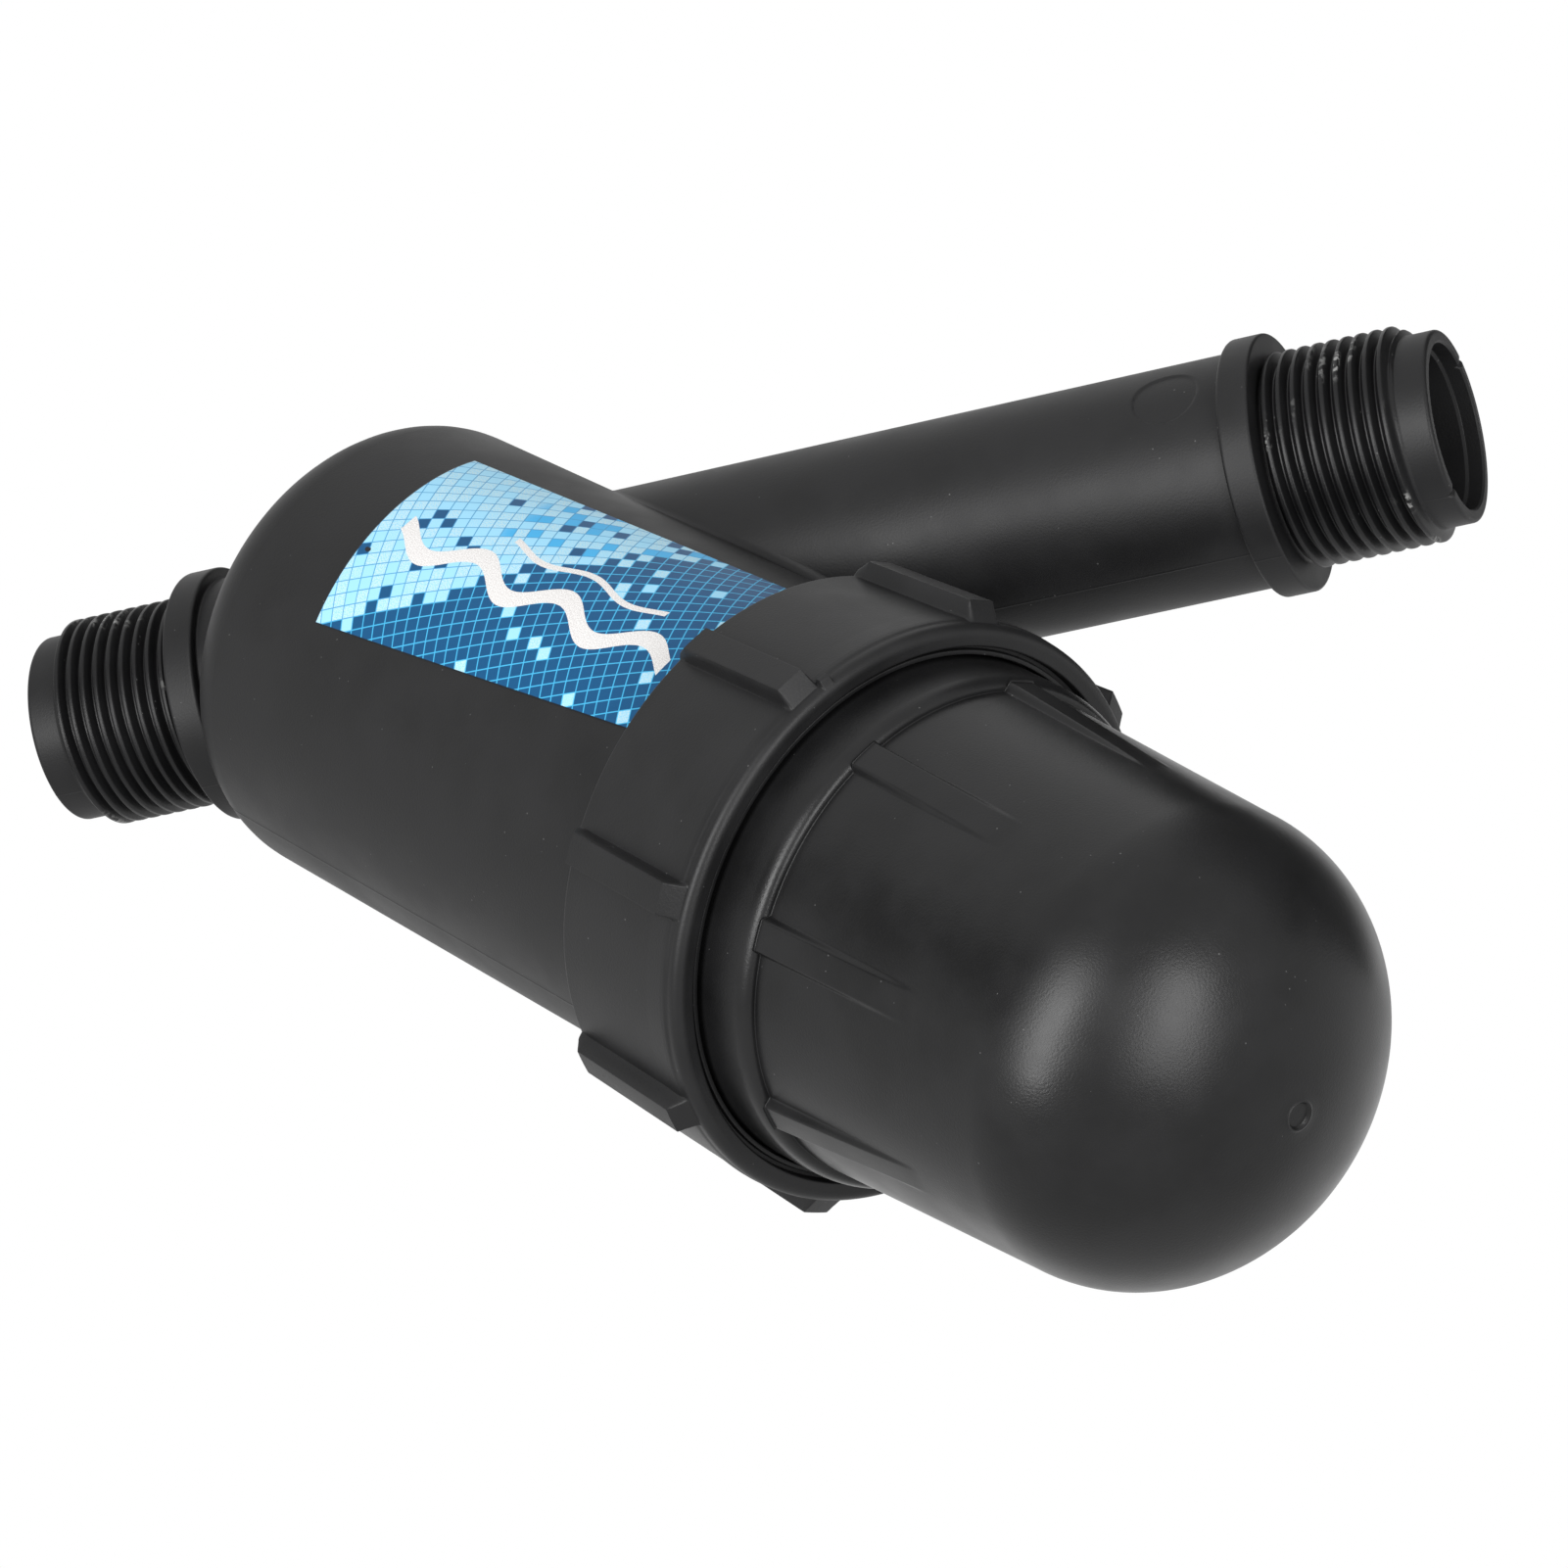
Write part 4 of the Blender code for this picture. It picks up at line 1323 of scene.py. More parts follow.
@dataclass(frozen=True)
class RunPipe:
    """Straight run of pipe through the barrel: two threaded ends, collars and fillets."""

    barrel: Barrel
    length: float = 184.8 * MM
    bore: float = 9.75 * MM
    counterbore: float = 10.15 * MM
    counterbore_depth: float = 2.0 * MM
    tip_radius: float = 11.75 * MM
    core_radius: float = 11.9 * MM
    thread_start: float = 3.8 * MM
    thread_stop: float = 20.75 * MM
    collar: Span = (20.9 * MM, 24.9 * MM)
    collar_radius: float = 15.8 * MM
    tube_radius: float = 14.35 * MM
    outside: float = 22.0 * MM
    fillet: float = 1.3 * MM
    fillet_sink: float = 0.3 * MM
    sink: float = 1.0 * MM
    mark_station: float = 152.9 * MM
    mark_angle: float = math.radians(1.5)
    mark_radius: float = 4.1 * MM
    mark_depth: float = 0.22 * MM
    mark_stop: float = 37.4 * MM
    mark_row: float = 0.2 * MM
    nick_depth: float = 0.5 * MM
    nick_width: float = 0.28 * MM
    ridge_height: float = 0.045 * MM
    ridge_width: float = 0.10 * MM
    columns: int = 168
    halvings: int = 44

    def place(self, station: Array, inlet: bool) -> Array:
        """Return a station counted from one end as a place along the run, or the other way."""
        return self.length - station if inlet else station

    def crossing(self, radius: float, angles: Array, offset: float, inlet: bool) -> Array:
        """Return where lines along the run come to an offset from the barrel's face.

        Each line is halved again and again between a place outside the barrel and the
        barrel's middle until the distance there is the offset.

        Args:
            radius: The lines' distance from the run's axis.
            angles: Angle of each line.
            offset: Distance from the face, below nought inside.
            inlet: True for the inlet's end, False for the outlet's.

        Returns:
            Places along the run.
        """
        far = np.full(len(angles), self.place(self.outside, inlet))
        near = np.full(len(angles), BARREL_CROSSING)
        for _ in range(self.halvings):
            middle = 0.5 * (far + near)
            distance, _ = self.barrel.field(RUN_AXIS.place(radius, angles, middle))
            out = distance > offset
            far, near = np.where(out, middle, far), np.where(out, near, middle)
        return 0.5 * (far + near)

    def angles(self) -> Array:
        """Return the columns: even, with extra ones at the parting ridge and the mark.

        Returns:
            Sorted angles.
        """
        mark = np.linspace(-1.0, 1.0, 61) * (self.mark_radius * 1.2 / self.tube_radius)
        extras = [*parting_angles((0.9, 7), (3.5, 13)), mark + self.mark_angle]
        return spread_angles(self.columns, extras)

    def outline(self) -> Array:
        """Return the outline of an end, from inside its bore over its tip to its tube.

        Returns:
            Points of (radius, station), with stations from the end face.
        """
        collar_start, collar_stop = self.collar
        corners = [
            (self.bore, self.counterbore_depth + 0.3 * MM, 0.0),
            (self.counterbore, self.counterbore_depth, 0.12 * MM),
            (self.counterbore, 0.25 * MM, 0.0),
            (self.counterbore + 0.2 * MM, 0.0, 0.1 * MM),
            (self.tip_radius, 0.0, 0.45 * MM),
            (self.tip_radius, self.thread_start, 0.0),
            (self.core_radius, self.thread_start + 0.3 * MM, 0.0),
            (self.core_radius, collar_start, 0.5 * MM),
            (self.collar_radius, collar_start, 0.35 * MM),
            (self.collar_radius, collar_stop, 0.45 * MM),
            (self.tube_radius, collar_stop, 0.3 * MM),
            (self.tube_radius, collar_stop + 0.9 * MM, 0.0),
        ]
        return rounded(corners, closed=False)

    def end(self, inlet: bool) -> Surface:
        """Return one threaded end with its collar and its length of tube up to the barrel.

        Rows follow the end's outline and then run on to the line where the tube meets the
        barrel, a little inside its wall. The bore comes back to the end face.

        Args:
            inlet: True for the inlet's end, False for the outlet's.

        Returns:
            The closed surface.
        """
        angles = self.angles()
        far, bore_far = [
            self.place(self.crossing(radius, angles, -self.sink, inlet), inlet)
            for radius in (self.tube_radius, self.bore)
        ]
        line = self.outline()
        base = line[:, 1:] + (self.nick(angles, line[:, 1:]) if inlet else 0.0 * angles)
        straight = line[-1:, 1]
        if inlet:
            straight = np.arange(line[-1, 1] + self.mark_row, self.mark_stop, self.mark_row)
        share = np.linspace(0.0, 1.0, 33)[1:, None]
        tube = straight[-1] + share * (far[None, :] - straight[-1])
        tube = np.concatenate([np.repeat(straight[:, None], len(angles), axis=1), tube])
        share = np.linspace(1.0, 0.0, 14)[:-1, None]
        inner = line[0, 1] + share * (bore_far[None, :] - line[0, 1])
        place = self.place(np.concatenate([base, tube, inner]), inlet)
        radius = [line[:, 0], np.full(len(tube), self.tube_radius), np.full(len(inner), self.bore)]
        radius = np.concatenate(radius)[:, None]
        outer = radius > self.counterbore + 1.0 * MM
        ridge = self.ridge_height * bell(off_side(angles) * radius, self.ridge_width)
        lift = outer * (ridge - self.mark(angles, place, radius))
        return grid_surface(RUN_AXIS.place(radius + lift, angles[None, :], place), True)

    def nick(self, angles: Array, depth: Array) -> Array:
        """Return the nicks' depth in the end face, one at either side of the middle plane."""
        cut = self.nick_depth * bell(off_side(angles) * self.tip_radius, self.nick_width)
        return cut * smooth_step((0.9 * MM - depth) / (0.7 * MM))

    def mark(self, angles: Array, place: Array, radius: Array) -> Array:
        """Return the depth of the round mark left on the tube by the mould.

        Args:
            angles: Angles of the columns.
            place: Places along the run.
            radius: Radii of the rows.

        Returns:
            The depth at each point.
        """
        turn = np.mod(angles - self.mark_angle + math.pi, TURN) - math.pi
        distance = np.hypot(place - self.mark_station, turn[None, :] * self.tube_radius)
        on_tube = np.abs(radius - self.tube_radius) < 1e-6
        inside = smooth_step((self.mark_radius - distance) / (0.30 * MM) + 0.5)
        return on_tube * self.mark_depth * inside

    def junction(self, inlet: bool) -> Surface:
        """Return the fillet ring where the tube meets the barrel.

        A ball of the fillet's radius rolls along both surfaces. Each section is the arc
        between its two touching points, and a third side sunk in the wall closes the ring.

        Args:
            inlet: True for the inlet's end, False for the outlet's.

        Returns:
            The closed surface.
        """
        angles = spread_angles(240)
        reach = self.tube_radius + self.fillet
        centre = RUN_AXIS.place(reach, angles, self.crossing(reach, angles, self.fillet, inlet))
        to_barrel = -self.barrel.field(centre)[1]
        to_tube = RUN_AXIS.place(self.tube_radius, angles, np.zeros(len(angles)))
        to_tube = -to_tube / np.linalg.norm(to_tube, axis=-1)[:, None]
        sweep = np.arccos(np.clip(np.sum(to_tube * to_barrel, axis=-1), -1.0, 1.0))[:, None]
        share = np.linspace(0.0, 1.0, 9)[:, None, None]
        rows = centre + between(to_tube, to_barrel, share, sweep) * self.fillet
        sunk_tube = rows[:1] + to_tube * self.fillet_sink
        sunk_barrel = rows[-1:] + to_barrel * self.fillet_sink
        deep = 0.5 * (rows[:1] + rows[-1:]) + (to_tube + to_barrel) * self.fillet * 0.5
        return grid_surface(np.concatenate([rows, sunk_barrel, deep, sunk_tube]), True)


@dataclass(frozen=True)
class Housing:
    """Moulded Y housing: the barrel, the run of pipe and its two threads."""

    barrel: Barrel = Barrel()
    run: RunPipe = RunPipe(Barrel())

    def build(self, palette: Palette) -> None:
        """Build the housing's pieces and put them on its body.

        Args:
            palette: Palette that holds the materials.
        """
        shell = make_mesh("housing_barrel", self.barrel.surface())
        cut_away(shell, self.barrel.way_cutters())
        fit_piece(shell, Body.HOUSING, "housing", palette.get(Finish.BODY))
        for name, inlet in (("outlet", False), ("inlet", True)):
            ends = (self.run.thread_start, self.run.thread_stop)
            span = sorted(self.run.place(end, inlet) for end in ends)
            pieces = (
                ("tube", self.run.end(inlet), CREASE, Finish.BODY),
                ("fillet", self.run.junction(inlet), 60.0, Finish.BODY),
                ("thread", PipeThread(*span).surface(), 50.0, Finish.THREAD),
            )
            for part, surface, sharp, finish in pieces:
                item = make_mesh(f"{name}_{part}", surface, sharp)
                fit_piece(item, Body.HOUSING, "housing", palette.get(finish))


@dataclass(frozen=True)
class Label:
    """Thin printed film on the barrel, tucked under the nut at its front edge."""

    barrel: Barrel = Barrel()
    rear_low: Span = (14.6 * MM, math.radians(-27.0))
    rear_high: Span = (11.8 * MM, math.radians(33.6))
    front: float = 75.8 * MM
    front_low: float = math.radians(-15.2)
    front_high: float = math.radians(42.2)
    bow: float = 0.25 * MM
    border: float = 0.004
    gap: float = 0.03 * MM
    thickness: float = 0.12 * MM
    edge_share: float = 0.55
    uv_unit: float = 100.0 * MM
    rows: int = 64
    columns: int = 44

    def shares(self, count: int) -> Array:
        """Return even shares from edge to edge, with two more close to either edge.

        Args:
            count: Number of even shares.

        Returns:
            Shares from 0 to 1.
        """
        near = np.array([self.border, 2.0 * self.border])
        inner = np.linspace(0.0, 1.0, count)[1:-1]
        return np.concatenate([[0.0], near, inner, 1.0 - near[::-1], [1.0]])

    def surface(self) -> Surface:
        """Return the film.

        Its lower and upper edges are straight between their corners, its rear edge is bowed
        by half a sine, and the skin and its back join at all four edges.

        Returns:
            The closed surface, with along, across and inside as values.
        """
        across, along = self.shares(self.columns)[None, :], self.shares(self.rows)[:, None]
        rear = self.rear_low[0] + (self.rear_high[0] - self.rear_low[0]) * across
        rear = rear + self.bow * np.sin(math.pi * across)
        station = rear + (self.front - rear) * along
        low = self.edge(station, self.rear_low, self.front_low)
        high = self.edge(station, self.rear_high, self.front_high)
        angle = low + (high - low) * across
        base = self.barrel.radius(station) + self.gap
        rim = (along > 0.0) & (along < 1.0) & (across > 0.0) & (across < 1.0)
        middle = BARREL_AXIS.place(base + 0.5 * self.thickness, angle, station)
        skin = BARREL_AXIS.place(base + self.thickness, angle, station)
        back = BARREL_AXIS.place(base, angle, station)
        reach = (angle - self.rear_low[1]) * self.barrel.radius(station)
        front, behind = [
            grid_surface(np.where(rim[..., None], side, middle), False, False)
            for side in (skin, back)
        ]
        behind.faces = behind.faces[:, ::-1]
        for side in (front, behind):
            side.values["along"] = (station - self.rear_high[0]).ravel()
            side.values["across"] = reach.ravel()
            # The inside value is nought on the film's border, where the film's material paints a
            # thin edge shadow.
            side.values["inside"] = np.where(rim, 1.0, 0.0).ravel()
        return joined([front, behind])

    def edge(self, station: Array, rear: Span, front: float) -> Array:
        """Return an edge's angle at a station, straight from its rear to its front corner."""
        return rear[1] + (front - rear[1]) * (station - rear[0]) / (self.front - rear[0])

    def build(self, palette: Palette) -> None:
        """Build the film with its UV map and put it on the housing.

        Args:
            palette: Palette that holds the materials.
        """
        film = make_mesh("label_film", self.surface(), sharp=70.0)
        mesh = film.data
        corners = np.zeros(len(mesh.loops), np.int32)
        mesh.loops.foreach_get("vertex_index", corners)
        uv = np.zeros((len(corners), 2), np.float32)
        for place, name in enumerate(("along", "across")):
            value = np.zeros(len(mesh.vertices), np.float32)
            mesh.attributes[name].data.foreach_get("value", value)
            uv[:, place] = value[corners] / self.uv_unit
        mesh.uv_layers.new(name="film").data.foreach_set("uv", uv.ravel())
        fit_piece(film, Body.HOUSING, "label", palette.get(Finish.LABEL))


@dataclass(frozen=True)
class UnionNut:
    """Union nut that holds the bowl to the barrel, with eight wedge lugs."""

    start: float = 75.0 * MM
    stop: float = 97.0 * MM
    seat: float = 93.5 * MM
    rear_radius: float = 34.7 * MM
    front_radius: float = 35.7 * MM
    bore_radius: float = 33.0 * MM
    outer_limit: float = 33.6 * MM
    lip: Span = (31.9 * MM, 32.5 * MM)
    lip_stop: float = 96.2 * MM
    edge: float = 1.3 * MM
    rim_width: float = 1.3 * MM
    groove_floor: float = 95.5 * MM
    wall_break: Span = (76.6 * MM, 94.1 * MM)
    lug_count: int = 8
    lug_phase: float = math.radians(3.5)
    lug_half: float = 2.15 * MM
    lug_edge: float = 0.55 * MM
    lug_narrowing: float = 0.10 * MM
    lug_limit: float = 96.4 * MM
    lug_profile: tuple[Span, ...] = (
        (75.0 * MM, 0.6 * MM),
        (76.6 * MM, 2.15 * MM),
        (94.1 * MM, 2.3 * MM),
        (95.75 * MM, 0.0),
    )
    thread_lead: float = 4.0 * MM
    thread_depth: float = 0.45 * MM
    thread_share: float = 0.34
    step_span: Span = (92.4 * MM, 95.2 * MM)
    step_height: float = 0.12 * MM
    nib_angle: float = math.radians(8.4)
    nib_half: float = 0.75 * MM
    nib_edge: float = 0.25 * MM
    nib_span: Span = (95.0 * MM, 96.6 * MM)
    nib_height: float = 0.75 * MM
    columns: int = 240

    def outline(self) -> Array:
        """Return the closed outline: outer wall, rim, groove, lip, seat and bore.

        Returns:
            Points of (radius, station).
        """
        rim_inner = self.front_radius - self.edge - self.rim_width
        lip_inner, lip_outer = self.lip
        corners = [
            (self.rear_radius, self.start, 0.30 * MM),
            (self.rear_radius + 0.07 * MM, self.wall_break[0], 0.0),
            (self.front_radius - 0.06 * MM, self.wall_break[1], 0.0),
            (self.front_radius, self.stop, self.edge),
            (rim_inner, self.stop, 0.25 * MM),
            (rim_inner, self.groove_floor, 0.15 * MM),
            (lip_outer, self.groove_floor, 0.15 * MM),
            (lip_outer, self.lip_stop, 0.15 * MM),
            (lip_inner, self.lip_stop, 0.15 * MM),
            (lip_inner, self.seat, 0.15 * MM),
            (self.bore_radius, self.seat, 0.15 * MM),
            (self.bore_radius, self.start + 0.8 * MM, 0.2 * MM),
            (self.bore_radius + 0.8 * MM, self.start, 0.15 * MM),
        ]
        line = refined(rounded(corners), 0.30 * MM, self.start, 77.2 * MM)
        line = refined(line, 0.24 * MM, 92.0 * MM, self.stop)
        return refined(line, 0.50 * MM, 77.0 * MM, self.seat)

    def nib(self, angles: Array, station: Array) -> Array:
        """Return the height of the gate nib: a small block that stands in the rim's groove.

        Args:
            angles: Angles of the columns.
            station: Stations of the rows.

        Returns:
            The height at each point.
        """
        half, edge = self.nib_half / self.front_radius, self.nib_edge / self.front_radius
        nib = plateau(angles[None, :] - self.nib_angle, half, edge) * self.nib_height
        return nib * window(station, (self.nib_span[0], 0.4 * MM), (self.nib_span[1], 0.5 * MM))

    def groove(self, angles: Array, radius: Array, station: Array) -> Array:
        """Return the depth of the screw thread that is cut outwards from the bore.

        Args:
            angles: Angles of the columns.
            radius: Radii of the rows.
            station: Stations of the rows.

        Returns:
            The depth at each point.
        """
        inside = (np.abs(radius - self.bore_radius) < 1e-5) & (station < self.seat - 0.3 * MM)
        phase = station / self.thread_lead + angles[None, :] / TURN
        groove = self.thread_depth * thread_height(phase, self.thread_share, self.thread_share)
        rise, fall = (self.start + 1.0 * MM, 1.0 * MM), (self.seat - 1.0 * MM, 1.5 * MM)
        return inside * groove * window(station, rise, fall)

    def surface(self) -> Surface:
        """Return the nut, with lugs, a fine step and a gate nib outside and a thread inside.

        A lug's height follows a profile of the station, times a flat-topped bump of the
        angle that narrows a little as it rises.

        Returns:
            The closed surface.
        """
        line = self.outline()
        radius, station = line[:, :1], line[:, 1:]
        half, edge = self.lug_half / self.front_radius, self.lug_edge / self.front_radius
        centres = centre_angles(self.lug_count, self.lug_phase)
        nib_sides = self.nib_half / self.front_radius, self.nib_edge / self.front_radius
        nib_angles = bump_angles(np.array([self.nib_angle]), *nib_sides, 7)
        angles = spread_angles(self.columns, [bump_angles(centres, half, edge, 10), nib_angles])
        outer = smooth_step((radius - self.rear_radius + 0.6 * MM) / (0.5 * MM))
        outer = outer * (radius > self.outer_limit)
        profile = np.interp(station, *np.array(self.lug_profile).T)
        offset = nearest_offset(angles, self.lug_count, self.lug_phase)
        narrow = self.lug_narrowing / self.front_radius * (profile / (2.0 * MM))
        lug = profile * plateau(offset, half - narrow, edge)
        rise, fall = (self.step_span[0], 0.12 * MM), (self.step_span[1], 0.5 * MM)
        step = self.step_height * window(station, rise, fall) * (1.0 - plateau(offset, half, edge))
        lift = outer * (station < self.lug_limit) * (lug + step)
        lift = lift + outer * self.nib(angles, station) + self.groove(angles, radius, station)
        return turned(BARREL_AXIS, line, angles, lift)

    def build(self, palette: Palette) -> None:
        """Build the nut and put it on its body."""
        nut = make_mesh("union_nut_ring", self.surface(), sharp=40.0)
        fit_piece(nut, Body.UNION_NUT, "union_nut", palette.get(Finish.NUT))


@dataclass(frozen=True)
class Ring:
    """Rubber ring with a round section."""

    station: float
    middle: float
    section: float

    def surface(self) -> Surface:
        """Return the ring: a circle of the section turned about the barrel's axis.

        Returns:
            The closed surface.
        """
        angles = spread_angles(20)
        radius = self.middle + self.section * np.cos(angles)
        station = self.station + self.section * np.sin(angles)
        return turned(BARREL_AXIS, np.stack([radius, station], axis=-1), spread_angles(120))


@dataclass(frozen=True)
class Bowl:
    """Domed bowl with a flanged spigot, a smooth band and eight fading ribs."""

    tip_radius: float = 28.85 * MM
    shoulder_radius: float = 30.1 * MM
    dome_start: float = 139.0 * MM
    dome_depth: float = 23.5 * MM
    dome_steps: tuple[int, int] = (40, 26)
    wall: float = 2.7 * MM
    inner_radius: float = 27.4 * MM
    band_stop: float = 104.3 * MM
    band_radius: float = 31.6 * MM
    shoulder_round: Span = (1.15 * MM, 2.1 * MM)
    flange_radius: float = 32.7 * MM
    flange: Span = (90.3 * MM, 93.2 * MM)
    spigot_radius: float = 27.1 * MM
    spigot_stop: float = 80.7 * MM
    spigot_bore: float = 22.9 * MM
    seal: Ring = Ring(85.2 * MM, 25.85 * MM, 1.42 * MM)
    seal_groove: Span = (24.25 * MM, 1.6 * MM)
    rib_count: int = 8
    rib_phase: float = math.radians(2.5)
    rib_half: float = 2.05 * MM
    rib_edge: float = 0.75 * MM
    rib_height: float = 1.15 * MM
    rib_stop: float = 128.3 * MM
    rib_power: float = 0.85
    rib_row: float = 0.85 * MM
    gate_radius: float = 1.5 * MM
    gate_depth: float = 0.28 * MM
    gate_side: float = 0.35 * MM
    gate_burr: float = 0.12 * MM
    burr_offset: float = 0.25 * MM
    burr_width: float = 0.16 * MM
    gate_rows: tuple[float, float, int] = (0.3, 2.1, 13)
    gate_stop: float = 2.3 * MM
    columns: int = 200

    def tip(self) -> list[Corner]:
        """Return corners of the outer dome from its pole on, close together at the gate mark.

        Returns:
            Rows of (radius, station, fillet).
        """
        steps = self.dome_steps[0]
        outside = arc_points(self.tip_radius, self.dome_depth, self.dome_start, steps, 1)[::-1]
        top = outside[0][1]
        pole = [(0.0, top, 0.0)]
        for reach in np.linspace(*self.gate_rows) * MM:
            drop = self.dome_depth * (1.0 - math.sqrt(1.0 - (reach / self.tip_radius) ** 2))
            pole.append((float(reach), top - drop, 0.0))
        return pole + [corner for corner in outside if corner[0] > self.gate_stop]

    def shoulder(self) -> list[Corner]:
        """Return corners of the band's rounded front: a quarter ellipse from foot to band.

        Returns:
            Rows of (radius, station, fillet).
        """
        drop, length = self.shoulder_round
        angles = np.linspace(0.0, QUARTER, 9)
        reach = self.band_radius - drop + drop * np.sin(angles)
        station = self.band_stop - length + length * np.cos(angles)
        return [(float(r), float(s), 0.0) for r, s in zip(reach, station)]

    def outline(self) -> tuple[Array, int]:
        """Return the outline from outer pole to inner pole and the row of the spigot's end.

        Returns:
            Points of (radius, station), and the row.
        """
        rim, depth = self.tip_radius - self.wall, self.dome_depth - self.wall
        groove_radius, groove_half = self.seal_groove
        near, far = self.seal.station + groove_half, self.seal.station - groove_half
        corners = [
            *self.tip(),
            (self.shoulder_radius + 0.04 * MM, self.band_stop, 0.10 * MM),
            *self.shoulder(),
            (self.band_radius, self.flange[1], 0.2 * MM),
            (self.flange_radius, self.flange[1], 0.3 * MM),
            (self.flange_radius, self.flange[0], 0.3 * MM),
            (self.spigot_radius, self.flange[0], 0.3 * MM),
            (self.spigot_radius, near, 0.15 * MM),
            (groove_radius, near, 0.3 * MM),
            (groove_radius, far, 0.3 * MM),
            (self.spigot_radius, far, 0.15 * MM),
            (self.spigot_radius, self.spigot_stop, 0.9 * MM),
            (self.spigot_bore, self.spigot_stop, 0.5 * MM),
            (self.spigot_bore, self.flange[1], 2.0 * MM),
            (self.inner_radius, self.band_stop, 2.0 * MM),
            *arc_points(rim, depth, self.dome_start, self.dome_steps[1], 1),
        ]
        low, high = self.band_stop - 1.2 * MM, self.rib_stop + 2.0 * MM
        line = refined(rounded(corners, closed=False), self.rib_row, low, high, closed=False)
        return line, int(np.argmin(line[:, 1]))

    def surface(self) -> Surface:
        """Return the bowl with its ribs and the round gate mark at its tip.

        A rib is a flat-topped bump of the angle whose height falls along the wall. The gate
        mark is a shallow pit with a bell-shaped burr round it.

        Returns:
            The closed surface.
        """
        line, end_row = self.outline()
        half, edge = self.rib_half / self.shoulder_radius, self.rib_edge / self.shoulder_radius
        centres = centre_angles(self.rib_count, self.rib_phase)
        angles = spread_angles(self.columns, [bump_angles(centres, half, edge, 10)])
        radius, station = line[:, :1], line[:, 1:]
        outer = (np.arange(len(line)) < end_row)[:, None] & (station > self.band_stop - 1e-6)
        share = (self.rib_stop - station) / (self.rib_stop - self.band_stop)
        height = self.rib_height * np.clip(share, 0.0, 1.0) ** self.rib_power
        rib = height * plateau(nearest_offset(angles, self.rib_count, self.rib_phase), half, edge)
        rib = np.minimum(rib, np.maximum(self.band_radius - 0.03 * MM - radius, 0.0))
        surface = turned(BARREL_AXIS, line, angles, outer * rib, closed=False)
        pit = self.gate_depth * smooth_step((self.gate_radius - radius) / self.gate_side + 0.5)
        burr = self.gate_burr * bell(radius - self.gate_radius - self.burr_offset, self.burr_width)
        pit = outer * (pit - burr) * (station > self.dome_start)
        shift = np.repeat(pit, len(angles), axis=0) * np.array(BARREL_AXIS.direction)
        return Surface(surface.points - shift, surface.faces)

    def build(self, palette: Palette) -> None:
        """Build the bowl and its seal and put them on the bowl's body.

        Args:
            palette: Palette that holds the materials.
        """
        bowl = make_mesh("bowl_shell", self.surface(), sharp=40.0)
        fit_piece(bowl, Body.BOWL, "bowl", palette.get(Finish.BOWL))
        seal = make_mesh("bowl_seal_ring", self.seal.surface())
        fit_piece(seal, Body.BOWL, "bowl_seal", palette.get(Finish.RUBBER))


